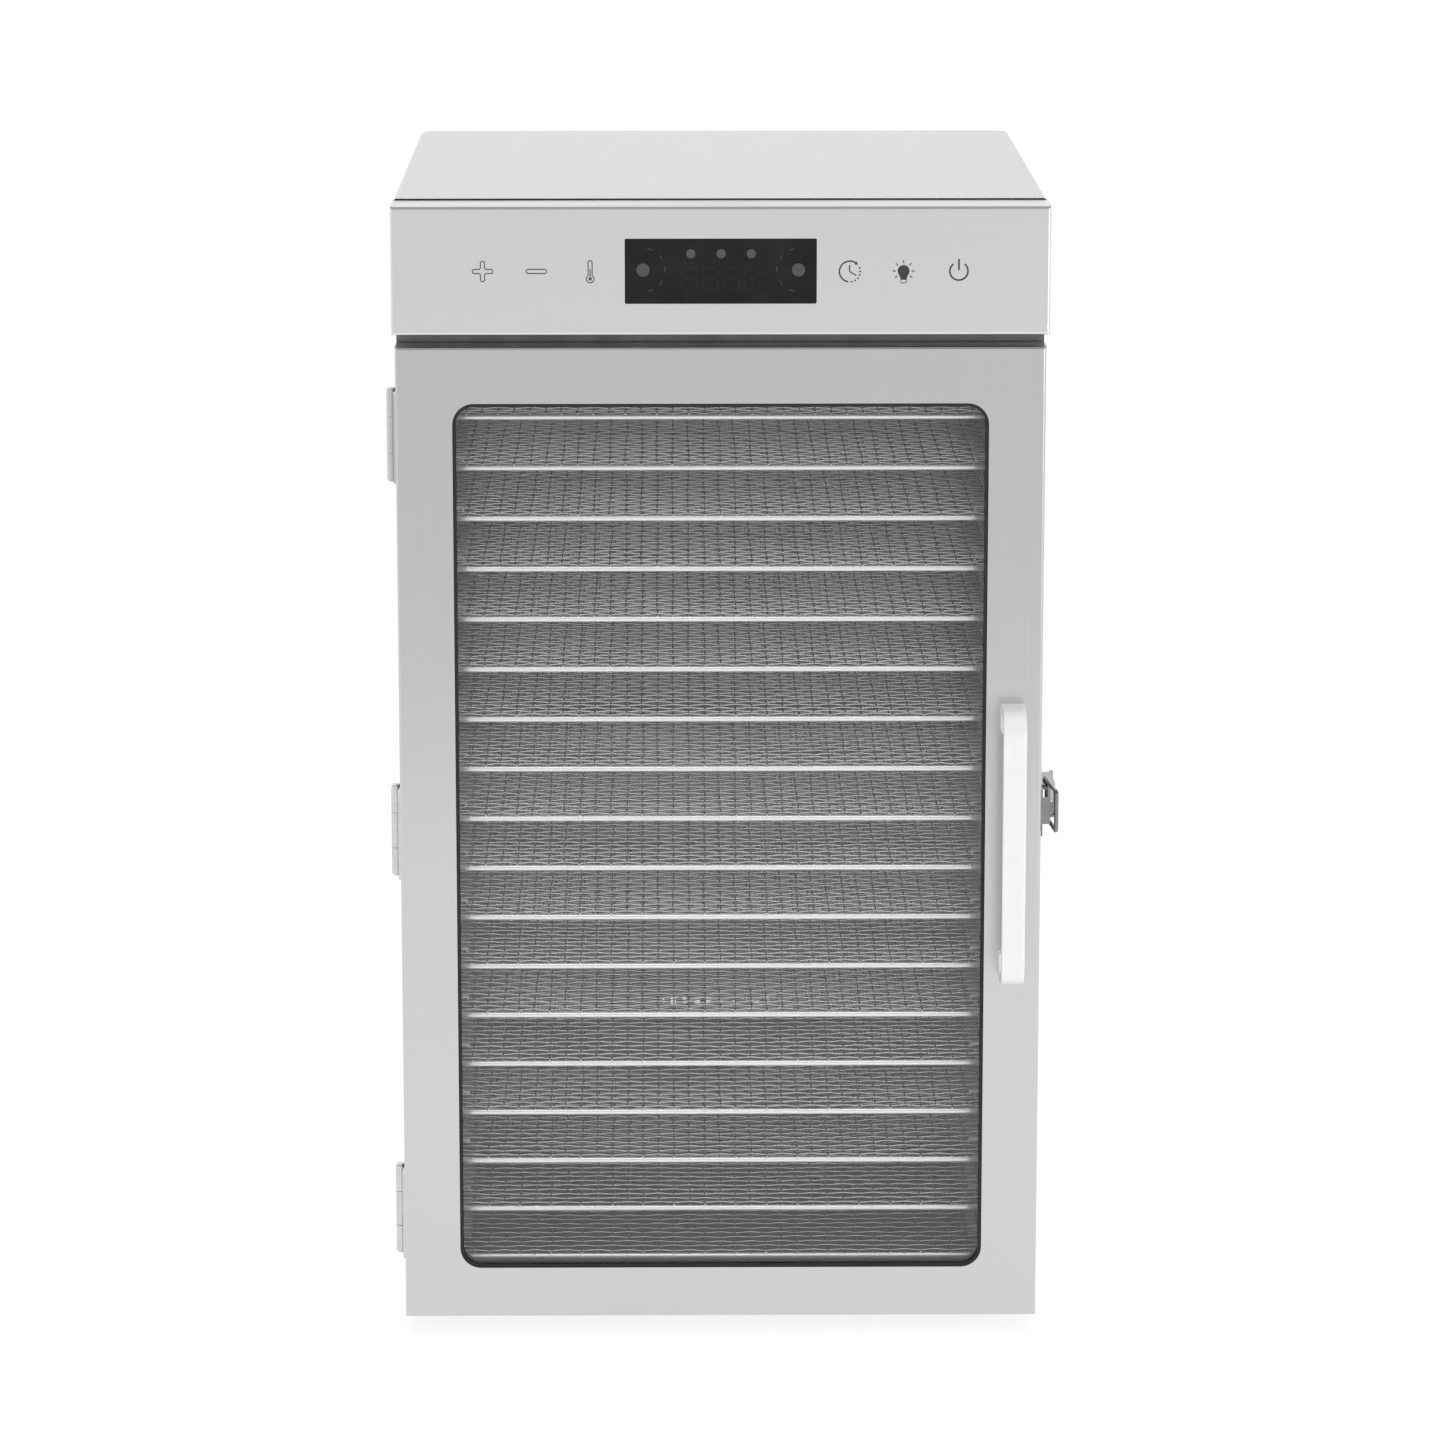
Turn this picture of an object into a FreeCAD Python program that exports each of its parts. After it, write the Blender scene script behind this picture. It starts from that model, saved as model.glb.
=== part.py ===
import FreeCAD, Part
import math
import os

from FreeCAD import Vector

os.makedirs("parts", exist_ok=True)

# A tall food dehydrator, in millimetres. +X is to the user's right, +Y to the back, +Z up.
# The origin is on the floor, under the middle of the width and of the depth with the handle.

# ---- Driving dimensions ----------------------------------------------------

# Overall
cabinet_width = 426.0  # across the side panels, and the door
overall_depth = 490.0  # fascia front to back panel
sheet = 1.0  # folded steel of the cabinet, the door and the head
skin = 0.8  # flat steel of the side and back panels

# Feet and base
foot_height = 12.0
foot_radius = 15.0
foot_top_radius = 12.5
foot_inset = 45.0  # foot centre to the cabinet's outside
foot_edge_radius = 2.0
base_depth = 18.0
base_return = 62.0  # flange under the base pan that carries the feet

# Trays
tray_count = 18
tray_pitch = 34.0
first_tray_rise = 16.0  # cavity floor to the first rim's centre
top_tray_headroom = 30.0
tray_side_clearance = 8.5
tray_back_clearance = 6.0
tray_setback = 33.0  # door front to the rim's front
tray_corner_radius = 14.0  # along the rim rod's centre line
rim_rod_radius = 2.0
mesh_wire = 1.2
mesh_pitch = 10.5
mesh_crimp = 1.06  # length of a crimped wire over its straight length

# Cavity
side_wall = 20.0  # outside of a side panel to the inside of its liner
plenum_depth = 95.0  # baffle front to the outside of the back panel
deck_depth = 29.0
deck_overhang = 2.0
mouth_margin = 2.5  # cavity mouth inside the liners
mouth_corner_radius = 8.0
runner_depth = 21.0
runner_height = 8.0
runner_lip = 3.0  # turned down along the ledge's inner edge
runner_sheet = 1.2
runner_setback = 62.0  # rim's front to the runner's front
runner_clearance = 0.3

# Door
door_setback = 2.0  # fascia front to door front
door_thickness = 22.0
sill_clearance = 2.0
stile_width = 37.2
top_rail = 37.3
bottom_rail = 34.3
window_radius = 14.0
bend_radius = 2.0
glass_thickness = 4.0
glass_overlap = 9.0
gasket_lip = 1.5
gasket_wall = 2.0
gasket_reach = 2.2  # how far the lip shows inside the window
seal_thickness = 4.0
seal_width = 8.0
seal_gap = 3.5  # cavity mouth to the seal

# Handle
handle_length = 186.0
handle_width = 15.5
handle_bar = 5.0
handle_standoff = 37.0
handle_bend = 18.0
handle_height = 330.0  # above the door's bottom edge
handle_inset = 20.0  # from the door's right edge
handle_edge_radius = 1.2
handle_screw_radius = 2.0
handle_screw_reach = 9.0
handle_screw_head = 4.0
handle_screw_play = 1.0  # hole deeper than its screw

# Hinges
hinge_low = 70.0  # lowest hinge above the door's bottom edge
hinge_top = 61.0  # highest hinge below the door's top edge
hinge_middle = 333.0  # middle hinge above the door's bottom edge
knuckle_radius = 3.5
knuckle_lengths = (18.0, 24.0, 18.0)
knuckle_gap = 0.3
hinge_leaf = 1.5
cabinet_leaf_width = 23.0
door_leaf_width = 20.0
leaf_clearance = 0.5
hinge_pin_radius = 1.5
hinge_pin_head = 2.6
hinge_pin_head_height = 1.4
running_clearance = 0.04

# Latch
latch_height = 348.0  # above the door's bottom edge
latch_plate = 1.2
latch_plate_height = 52.0
latch_plate_length = 34.0
latch_plate_corner = 3.0
latch_setback = 17.0  # cabinet face to the lever's pivot
latch_pivot_out = 7.0  # side panel to the lever's pivot
latch_pin_radius = 2.0
latch_ear_radius = 3.4
latch_ear_gap = 16.0
latch_ear = 1.5
lever_half_height = 11.2
lever_out = 12.0  # side panel to the lever's outer face
lever_length = 42.0
lever_nose = 5.0
lever_web_start = 2.0
lever_side_clearance = 0.5  # its flanges are set back from the side panel by this
over_centre = 1.0
bail_arm_setback = 12.0
bail_wire_radius = 1.5
bail_bend = 1.7  # along the wire's centre line
bail_gap = 0.4
strike_height = 32.0
strike_length = 15.0
strike_setback = 3.0
hook_height = 18.0
hook_out = 6.5
hook_setback = 9.0  # door front to the hook
bail_pull = 2.0  # bail bar ahead of the hook
hook_clearance = 2.5  # strike hook to the bail's bar at rest

# Control head
fascia_height = 84.0
fascia_gap = 8.0  # fascia to door
fascia_flange = 40.0
cover_seam = 0.7
cover_corner_radius = 12.0
display_width = 125.0
display_height = 42.6
display_corner = 1.0
display_clearance = 0.2
display_flange = 3.0
display_face = 0.9
display_flange_thickness = 1.5
board = 1.6
control_board_width = 380.0
control_board_height = 62.0
control_board_gap = 6.0
display_module_width = 112.0
display_module_height = 34.0
display_module_gap = 0.6
touch_chip = (16.0, 2.2)  # side and thickness
touch_chip_xs = (-110, -40, 40, 110)
cable_socket = (22.0, 10.0, 9.0)  # width, height and depth
cable_socket_x = 150.0
post_radius = 3.0
post_inset = 10.0

# Power board and mains inlet
power_board_length = 120.0
power_board_width = 90.0
power_board_left = 55.0  # from the centre line
power_board_back = 90.0  # its rear edge to the outside of the back panel
power_board_rise = 6.0
# Components as (left, front) on the board and (width, depth, height)
transformer = ((10.0, 12.0), (35.0, 30.0, 30.0))
relay = ((56.0, 10.0), (15.0, 28.0, 16.0))
filter_choke = ((12.0, 56.0), (30.0, 20.0, 12.0))
capacitor = ((62.0, 62.0), 7.5, 24.0)  # place, radius and height
relay_count = 3
relay_pitch = 20.0
inlet_x = -150.0
inlet_rise = 42.0
inlet_width = 28.0
inlet_height = 20.5
inlet_depth = 24.0
inlet_flange = 4.0
inlet_flange_thickness = 1.5
inlet_flange_corner = 2.0
inlet_wall = 2.5
inlet_socket_depth = 17.0
inlet_pin_length = 14.0
inlet_pin_root = 1.0  # inside the socket's floor
inlet_pin = (2.0, 4.0)  # width and height
inlet_pin_places = ((-7, -2), (7, -2), (0, 3))

# Air system
fan_spacing = 300.0
impeller_radius = 70.0
impeller_blades = 10
blade_length = 44.0
blade_depth = 18.0
blade_thickness = 1.2
hub_rear = 4.0  # hub behind the impeller's plate
hub_radius = 11.0
hub_length = 20.0
spindle_radius = 4.0
motor_radius = 32.0
motor_length = 38.0
motor_flange_radius = 42.0
motor_flange = 2.5
impeller_gap = 12.0  # motor to the impeller's plate
heater_radius = 88.0
heater_tube = 3.2
heater_setback = 24.0  # baffle to the element
heater_opening = 30.0  # degrees left open at the top
heater_terminal = 48.0
grille_radius = 72.0
grille_slot = 6.0
grille_pitch = 12.0
return_slot_length = 70.0
return_slot_inset = 30.0  # from the liner's inside
return_slots = 3  # in each group
slot_end = 0.98  # end radius over the slot's half width
vent_slot = 4.0
vent_pitch = 9.0
vent_slot_length = 46.0
vent_slots = 12
vent_inset = 60.0

# Lamp and probe
lamp_setback = 130.0  # cabinet face to the lamp
lamp_socket_radius = 15.0
lamp_lens_radius = 20.0
lamp_lens_depth = 7.0
lamp_lens_edge = 4.2
lamp_socket_height = 22.0
probe_x = 120.0
probe_radius = 2.5
probe_length = 22.0
probe_flange_radius = 7.0
probe_flange = 1.5

# Screws
screw_radius = 1.5
screw_length = 7.0
screw_head_radius = 3.0
screw_head_height = 1.8
screw_clearance = 0.05
case_screw_xs = (-180.0, -60.0, 60.0, 180.0)
hinge_screw_offset = 17.0
hinge_screw_setback = 13.0
latch_screw_offset = 20.0

# ---- Places worked out from them -------------------------------------------

half_width = cabinet_width / 2
half_head = half_width + deck_overhang
front = (handle_standoff - door_setback - overall_depth) / 2
back = front + overall_depth
door_front = front + door_setback
door_back = door_front + door_thickness
face = door_back + seal_thickness

cavity_floor = foot_height + base_depth
first_tray = cavity_floor + first_tray_rise
last_tray = first_tray + (tray_count - 1) * tray_pitch
cavity_ceiling = last_tray + top_tray_headroom
head_bottom = cavity_ceiling + deck_depth
head_top = head_bottom + fascia_height
door_bottom = foot_height + sill_clearance
door_top = head_bottom - fascia_gap

half_inside = half_width - skin
panel_back = back - skin
panel_top = head_bottom - sheet
liner_inside = half_width - side_wall
mouth_half = liner_inside - mouth_margin
tray_half = liner_inside - tray_side_clearance
tray_front = door_front + tray_setback
baffle_front = back - plenum_depth
tray_back = baffle_front - tray_back_clearance
runner_front = tray_front + runner_setback
mesh_sheet = 2 * math.pi / 4 * mesh_wire**2 / mesh_pitch * mesh_crimp

window_x = (-half_width + stile_width, half_width - stile_width)
window_z = (door_bottom + bottom_rail, door_top - top_rail)
handle_x = half_width - handle_inset
handle_z = door_bottom + handle_height
handle_feet = (handle_z - handle_length / 2, handle_z + handle_length / 2)
screw_in_foot = handle_bend / 2

hinge_x = -half_width - knuckle_radius
hinge_y = (door_back + face) / 2
hinge_zs = [door_bottom + hinge_low, door_bottom + hinge_middle, door_top - hinge_top]

latch_z = door_bottom + latch_height
pivot = (half_width + latch_pivot_out, face + latch_setback)
bail_pivot = (pivot[0] - over_centre, pivot[1] + bail_arm_setback)
hook_y = door_front + hook_setback
bail_bar = (half_width + hook_out + hook_clearance + bail_wire_radius, hook_y - bail_pull)

display_z = (head_bottom + head_top) / 2
cover_front = front + fascia_flange + cover_seam
inlet_z = head_bottom + inlet_rise
fan_middle = (cavity_floor + cavity_ceiling) / 2
fan_zs = {"lower": fan_middle - fan_spacing / 2, "upper": fan_middle + fan_spacing / 2}
motor_front = panel_back - motor_length
impeller_plate = motor_front - impeller_gap
deck_floor = cavity_ceiling + sheet

ALONG_X = Vector(1, 0, 0)
ALONG_Y = Vector(0, 1, 0)
ALONG_Z = Vector(0, 0, 1)
PAST = 5.0  # how far a cutter runs past what it cuts
NEAR = 0.001


# ---- Shapes used all over --------------------------------------------------


def box(x_span, y_span, z_span):
    """Block between two limits along each axis."""
    size = [span[1] - span[0] for span in (x_span, y_span, z_span)]
    return Part.makeBox(*size, Vector(x_span[0], y_span[0], z_span[0]))


def cylinder(start, axis, radius, length):
    """Round bar from a start point along an axis."""
    return Part.makeCylinder(radius, length, Vector(*start), axis)


def about(middle, size):
    """Span of a size, centred on a middle."""
    return (middle - size / 2, middle + size / 2)


def inset(span, wall):
    """Span drawn in by a wall at both ends."""
    return (span[0] + wall, span[1] - wall)


def union(shapes):
    """One solid from several that touch or overlap."""
    return shapes[0].multiFuse(shapes[1:]).removeSplitter()


def mirrored(shape):
    """The same shape on the other side of the object."""
    return shape.mirror(Vector(0, 0, 0), ALONG_X)


def rounded_loop(u_span, v_span, radius, place):
    """Closed wire round a rectangle with rounded corners, laid out by place(u, v)."""
    u_low, u_high = inset(u_span, radius)
    v_low, v_high = inset(v_span, radius)
    corners = [(u_high, v_low, -90), (u_high, v_high, 0), (u_low, v_high, 90), (u_low, v_low, 180)]
    arcs = []
    for u, v, start in corners:
        angles = [math.radians(start + step) for step in (0, 45, 90)]
        arcs.append([place(u + radius * math.cos(a), v + radius * math.sin(a)) for a in angles])
    edges = []
    for arc, following in zip(arcs, arcs[1:] + arcs[:1]):
        edges.append(Part.Arc(*arc).toShape())
        edges.append(Part.LineSegment(arc[2], following[0]).toShape())
    return Part.Wire(edges)


def upright_panel(x_span, z_span, radius, y_span):
    """Rounded rectangle standing across the depth."""
    loop = rounded_loop(x_span, z_span, radius, lambda u, v: Vector(u, y_span[0], v))
    return Part.Face(loop).extrude(ALONG_Y * (y_span[1] - y_span[0]))


def side_panel_shape(y_span, z_span, radius, x_span):
    """Rounded rectangle standing across the width."""
    loop = rounded_loop(y_span, z_span, radius, lambda u, v: Vector(x_span[0], u, v))
    return Part.Face(loop).extrude(ALONG_X * (x_span[1] - x_span[0]))


def flat_panel(x_span, y_span, radius, z_span):
    """Rounded rectangle lying flat."""
    loop = rounded_loop(x_span, y_span, radius, lambda u, v: Vector(u, v, z_span[0]))
    return Part.Face(loop).extrude(ALONG_Z * (z_span[1] - z_span[0]))


def rounded(shape, radius, wanted):
    """Shape with the edges whose middles pass a test rounded."""
    return shape.makeFillet(radius, [edge for edge in shape.Edges if wanted(edge.CenterOfMass)])


def front_pan(x_span, y_span, z_span):
    """Folded sheet: a front plate with four returns, open at the back."""
    outer = rounded(box(x_span, y_span, z_span), bend_radius, lambda p: abs(p.y - y_span[0]) < NEAR)
    inner_front = y_span[0] + sheet
    hollow = box(inset(x_span, sheet), (inner_front, y_span[1] + PAST), inset(z_span, sheet))
    hollow = rounded(hollow, bend_radius - sheet, lambda p: abs(p.y - inner_front) < NEAR)
    return outer.cut(hollow)


def bent_wire(points, bend, radius):
    """Round wire through points, its corners bent to one radius."""
    points = [Vector(*point) for point in points]
    edges = []
    start = points[0]
    for before, corner, after in zip(points, points[1:], points[2:]):
        toward = (before - corner).normalize()
        away = (after - corner).normalize()
        half = (math.pi - toward.getAngle(away)) / 2
        reach = bend * math.tan(half)
        centre = corner + (toward + away).normalize() * (bend / math.cos(half))
        middle = centre + (corner - centre).normalize() * bend
        entry, leave = corner + toward * reach, corner + away * reach
        edges.append(Part.LineSegment(start, entry).toShape())
        edges.append(Part.Arc(entry, middle, leave).toShape())
        start = leave
    edges.append(Part.LineSegment(start, points[-1]).toShape())
    path = Part.Wire(edges)
    circle = Part.Circle(points[0], points[1] - points[0], radius)
    return path.makePipeShell([Part.Wire([circle.toShape()])], True, False)


def save(node, shape):
    """Write one node's solid, or its group of solids."""
    if isinstance(shape, list):
        shape = Part.makeCompound(shape)
    shape.exportStep("parts/" + node + ".step")


# ---- Screws ----------------------------------------------------------------


def screw(head_seat, into):
    """Pan-head screw whose head sits on a point and whose shank goes into the work."""
    head = Part.makeCylinder(screw_head_radius, screw_head_height, head_seat, into * -1)
    head = rounded(head, screw_head_height / 2, lambda p: abs((p - head_seat).dot(into)) > NEAR)
    return head.fuse(Part.makeCylinder(screw_radius, screw_length, head_seat, into)).removeSplitter()


def screw_hole(head_seat, into):
    """Cutter for a screw's clearance hole."""
    start = head_seat - into * PAST
    return Part.makeCylinder(screw_radius + screw_clearance, screw_length + 2 * PAST, start, into)


def case_screw_seats():
    """Head seats on the back panel, into the base pan and the deck."""
    heights = (foot_height + base_depth / 2, cavity_ceiling + deck_depth / 2)
    return [Vector(x, back, z) for z in heights for x in case_screw_xs]


def hinge_screw_seats():
    """Head seats on the cabinet leaves of the hinges."""
    x = -half_width - hinge_leaf
    y = face + hinge_screw_setback
    return [Vector(x, y, z + side * hinge_screw_offset) for z in hinge_zs for side in (-1, 1)]


def latch_screw_seats():
    """Head seats on the latch's base plate."""
    x = half_width + latch_plate
    return [Vector(x, pivot[1], latch_z + side * latch_screw_offset) for side in (-1, 1)]


def case_screws():
    """All screws of the cabinet body."""
    screws = [screw(seat, ALONG_Y * -1) for seat in case_screw_seats()]
    screws += [screw(seat, ALONG_X) for seat in hinge_screw_seats()]
    screws += [screw(seat, ALONG_X * -1) for seat in latch_screw_seats()]
    return screws


# ---- Cabinet ---------------------------------------------------------------


def feet():
    """Four rubber feet, narrower towards the cabinet."""
    shapes = []
    for x in (-half_width + foot_inset, half_width - foot_inset):
        for y in (face + foot_inset, back - foot_inset):
            foot = Part.makeCone(foot_radius, foot_top_radius, foot_height, Vector(x, y, 0))
            shapes.append(rounded(foot, foot_edge_radius, lambda p: p.z < NEAR))
    return shapes


def base_pan():
    """Folded pan whose top is the cavity floor, with returns for the feet."""
    x_span = (-half_inside, half_inside)
    y_span = (face + sheet, panel_back)
    z_span = (foot_height, cavity_floor)
    pan = box(x_span, y_span, z_span)
    pan = pan.cut(box(inset(x_span, sheet), inset(y_span, sheet), inset(z_span, sheet)))
    well = flat_panel(
        inset(x_span, base_return),
        inset(y_span, base_return),
        mouth_corner_radius,
        (foot_height - PAST, foot_height + sheet + NEAR),
    )
    holes = [screw_hole(seat, ALONG_Y * -1) for seat in case_screw_seats()]
    return pan.cut([well] + holes)


def top_deck():
    """Folded pan between the cavity and the head, with a rim that carries the head."""
    x_span = (-half_inside, half_inside)
    y_span = (face + sheet, panel_back)
    pan = box(x_span, y_span, (cavity_ceiling, head_bottom - sheet))
    rim = box((-half_head, half_head), (face, back), (head_bottom - sheet, head_bottom))
    hollow = box(inset(x_span, sheet), inset(y_span, sheet), (deck_floor, head_bottom + PAST))
    lamp = cylinder((0, face + lamp_setback, deck_floor - PAST), ALONG_Z, lamp_socket_radius, 2 * PAST)
    holes = [screw_hole(seat, ALONG_Y * -1) for seat in case_screw_seats()]
    return union([pan, rim]).cut([hollow, lamp] + holes)


def side_panel(side):
    """Flat outer side; side is -1 on the left and 1 on the right."""
    x_span = tuple(sorted((side * half_inside, side * half_width)))
    panel = box(x_span, (face + sheet, panel_back), (foot_height, panel_top))
    seats = hinge_screw_seats() if side < 0 else latch_screw_seats()
    return panel.cut([screw_hole(seat, ALONG_X * -side) for seat in seats])


def vent_slots_at(z_middle, x_middle, length, width, pitch, count, y):
    """Cutters for a row of upright slots through a sheet at a depth."""
    slots = []
    for index in range(count):
        x = x_middle + (index - (count - 1) / 2) * pitch
        end = width / 2 * slot_end
        slots.append(upright_panel(about(x, width), about(z_middle, length), end, (y - PAST, y + PAST)))
    return slots


def back_panel():
    """Flat back with exhaust slots beside both fans."""
    panel = box((-half_width, half_width), (panel_back, back), (foot_height, panel_top))
    cutters = [screw_hole(seat, ALONG_Y * -1) for seat in case_screw_seats()]
    for z in (cavity_floor + vent_inset, cavity_ceiling - vent_inset):
        cutters += vent_slots_at(z, 0, vent_slot_length, vent_slot, vent_pitch, vent_slots, back)
    return panel.cut(cutters)


def face_frame():
    """Front plate of the cabinet round the cavity mouth."""
    plate = box((-half_width, half_width), (face, face + sheet), (foot_height, panel_top))
    mouth = upright_panel(
        (-mouth_half, mouth_half),
        (cavity_floor, cavity_ceiling),
        mouth_corner_radius,
        (face - PAST, face + PAST),
    )
    return plate.cut(mouth)


def liner(side):
    """Inner side wall of the cavity."""
    x_span = tuple(sorted((side * liner_inside, side * (liner_inside + sheet))))
    return box(x_span, (face + sheet, baffle_front + sheet), (cavity_floor, cavity_ceiling))


def tray_height(index):
    """Height of the centre of a tray's rim."""
    return first_tray + index * tray_pitch


def runners(side):
    """Lipped angle strips welded to a liner, one under each tray."""
    strips = []
    ledge_inside = liner_inside - runner_depth
    for index in range(tray_count):
        top = tray_height(index) - rim_rod_radius - runner_clearance
        y_span = (runner_front, baffle_front)
        ledge = box((ledge_inside, liner_inside), y_span, (top - runner_sheet, top))
        upright = box((liner_inside - runner_sheet, liner_inside), y_span, (top - runner_height, top))
        lip = box((ledge_inside, ledge_inside + runner_sheet), y_span, (top - runner_lip, top))
        strip = union([ledge, upright, lip])
        strips.append(strip if side > 0 else mirrored(strip))
    return strips


def rear_baffle():
    """Wall in front of the fans, with a grille at each fan and slots at the sides."""
    y_span = (baffle_front, baffle_front + sheet)
    wall = box((-liner_inside, liner_inside), y_span, (cavity_floor, cavity_ceiling))
    cutters = []
    for z in fan_zs.values():
        rows = int(grille_radius // grille_pitch)
        for row in range(-rows, rows + 1):
            half = math.sqrt(grille_radius**2 - (row * grille_pitch) ** 2)
            if half < grille_pitch:
                continue
            cutters.append(
                upright_panel(
                    (-half, half),
                    about(z + row * grille_pitch, grille_slot),
                    grille_slot / 2 * slot_end,
                    (baffle_front - PAST, baffle_front + PAST),
                )
            )
        for side in (-1, 1):
            x = side * (liner_inside - return_slot_inset)
            cutters += vent_slots_at(
                z, x, return_slot_length, grille_slot, grille_pitch, return_slots, baffle_front
            )
    probe = cylinder((probe_x, baffle_front - PAST, fan_middle), ALONG_Y, probe_radius, 2 * PAST)
    return wall.cut(cutters + [probe])


# ---- Trays -----------------------------------------------------------------


def tray(index):
    """Round-rod rim with a closed sheet of the woven mesh's own mass."""
    z = tray_height(index)
    x_span = inset((-tray_half, tray_half), rim_rod_radius)
    y_span = inset((tray_front, tray_back), rim_rod_radius)
    path = rounded_loop(x_span, y_span, tray_corner_radius, lambda u, v: Vector(u, v, z))
    start = path.Edges[0]
    circle = Part.Circle(
        start.valueAt(start.FirstParameter), start.tangentAt(start.FirstParameter), rim_rod_radius
    )
    rim = path.makePipeShell([Part.Wire([circle.toShape()])], True, False)
    mesh = flat_panel(x_span, y_span, tray_corner_radius, about(z, mesh_sheet))
    return rim.fuse(mesh)


# ---- Door ------------------------------------------------------------------


def door_outer_panel():
    """Folded front panel with the window and the handle's screw holes."""
    pan = front_pan((-half_width, half_width), (door_front, door_back), (door_bottom, door_top))
    cut_span = (door_front - PAST, door_front + PAST)
    cutters = [upright_panel(window_x, window_z, window_radius, cut_span)]
    for point in handle_screw_points():
        start = (point.x, door_front - PAST, point.z)
        cutters.append(cylinder(start, ALONG_Y, handle_screw_radius, 2 * PAST))
    return pan.cut(cutters)


def glass_spans():
    """Width and height limits of the door's pane."""
    return inset(window_x, -glass_overlap), inset(window_z, -glass_overlap)


def glass_depth():
    """Front and back of the pane."""
    start = door_front + sheet + gasket_lip
    return (start, start + glass_thickness)


def door_glass():
    """Flat pane behind the window."""
    x_span, z_span = glass_spans()
    return upright_panel(x_span, z_span, window_radius, glass_depth())


def glass_gasket():
    """U-shaped rubber round the pane's edge."""
    x_span, z_span = glass_spans()
    y_span = inset(glass_depth(), -gasket_lip)
    outer = upright_panel(
        inset(x_span, -gasket_wall), inset(z_span, -gasket_wall), window_radius + gasket_wall, y_span
    )
    opening = upright_panel(
        inset(window_x, gasket_reach),
        inset(window_z, gasket_reach),
        window_radius - gasket_reach,
        inset(y_span, -PAST),
    )
    return outer.cut([opening, door_glass()])


def door_inner_frame():
    """Back plate of the door with a lip that holds the gasket."""
    x_span = inset((-half_width, half_width), sheet)
    z_span = inset((door_bottom, door_top), sheet)
    lip_front = glass_depth()[1] + gasket_lip
    plate = box(x_span, (door_back - sheet, door_back), z_span)
    lip = upright_panel(
        inset(window_x, -sheet),
        inset(window_z, -sheet),
        window_radius + sheet,
        (lip_front, door_back),
    )
    opening = upright_panel(window_x, window_z, window_radius, (lip_front - PAST, door_back + PAST))
    return union([plate, lip]).cut(opening)


def door_seal():
    """Silicone ring between the door and the cabinet's face."""
    x_span = (-mouth_half - seal_gap, mouth_half + seal_gap)
    z_span = (cavity_floor - seal_gap, cavity_ceiling + seal_gap)
    ring = upright_panel(
        inset(x_span, -seal_width),
        inset(z_span, -seal_width),
        mouth_corner_radius + seal_width,
        (door_back, face),
    )
    return ring.cut(upright_panel(x_span, z_span, mouth_corner_radius, (door_back - PAST, face + PAST)))


def handle_screw_points():
    """Centres of the handle's feet on the door's face."""
    low, high = handle_feet
    return [Vector(handle_x, door_front, z) for z in (low + screw_in_foot, high - screw_in_foot)]


def door_handle():
    """Flat bar bent into a bow, with thick feet on the door."""
    x_span = about(handle_x, handle_width)
    outer = side_panel_shape(
        (door_front - handle_standoff, door_front + 2 * handle_bend), handle_feet, handle_bend, x_span
    )
    hollow = side_panel_shape(
        (door_front - handle_standoff + handle_bar, door_front + 2 * handle_bend),
        inset(handle_feet, handle_bar),
        handle_bend - handle_bar,
        inset(x_span, -PAST),
    )
    bow = outer.cut(hollow)
    feet_depth = (door_front - screw_in_foot - handle_screw_radius, door_front + PAST)
    for low in (handle_feet[0], handle_feet[1] - handle_bend):
        bow = bow.fuse(box(x_span, feet_depth, (low, low + handle_bend)))
    behind_depth = (door_front, door_front + 3 * handle_bend)
    behind = box(inset(x_span, -PAST), behind_depth, inset(handle_feet, -PAST))
    bow = bow.cut(behind).removeSplitter()
    bow = rounded(bow, handle_edge_radius, lambda p: p.y < door_front - NEAR)
    holes = [
        cylinder((p.x, door_front - handle_screw_reach, p.z), ALONG_Y, handle_screw_radius, 3 * PAST)
        for p in handle_screw_points()
    ]
    return bow.cut(holes)


def handle_screws():
    """Two screws from inside the door into the handle's feet."""
    shapes = []
    for point in handle_screw_points():
        inside = Vector(point.x, door_front + sheet, point.z)
        radius = handle_screw_radius - screw_clearance
        shank = Part.makeCylinder(
            radius, handle_screw_reach - handle_screw_play, inside, ALONG_Y * -1
        )
        head = Part.makeCylinder(handle_screw_head, handle_screw_radius, inside, ALONG_Y)
        shapes.append(shank.fuse(head).removeSplitter())
    return shapes


def door_strike():
    """Plate on the door's right edge with the hook that the bail pulls on."""
    y_span = (door_front + strike_setback, door_front + strike_setback + strike_length)
    plate = box((half_width, half_width + latch_plate), y_span, about(latch_z, strike_height))
    hook = box(
        (half_width, half_width + hook_out), (hook_y, hook_y + latch_plate), about(latch_z, hook_height)
    )
    return union([plate, hook])


# ---- Hinges ----------------------------------------------------------------


def knuckle_spans(middle):
    """Heights of the three knuckles of one hinge, from the bottom."""
    low = middle - sum(knuckle_lengths) / 2
    spans = []
    for length in knuckle_lengths:
        spans.append(inset((low, low + length), knuckle_gap / 2))
        low += length
    return spans


def hinge_leaf_shape(middle, direction, width, own):
    """Leaf with its own knuckles; direction is 1 towards the back, -1 towards the front."""
    x_span = (-half_width - hinge_leaf, -half_width)
    spans = knuckle_spans(middle)
    clear = knuckle_radius + leaf_clearance

    def along(near, far):
        return tuple(sorted((hinge_y + direction * near, hinge_y + direction * far)))

    pieces = [box(x_span, along(clear, width), (spans[0][0], spans[-1][1]))]
    for index in own:
        pieces.append(box(x_span, along(0, clear + PAST), spans[index]))
        low, high = spans[index]
        pieces.append(cylinder((hinge_x, hinge_y, low), ALONG_Z, knuckle_radius, high - low))
    bore_radius = hinge_pin_radius + running_clearance
    bore = cylinder(
        (hinge_x, hinge_y, spans[0][0] - PAST), ALONG_Z, bore_radius, sum(knuckle_lengths) + 2 * PAST
    )
    return union(pieces).cut(bore)


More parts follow.
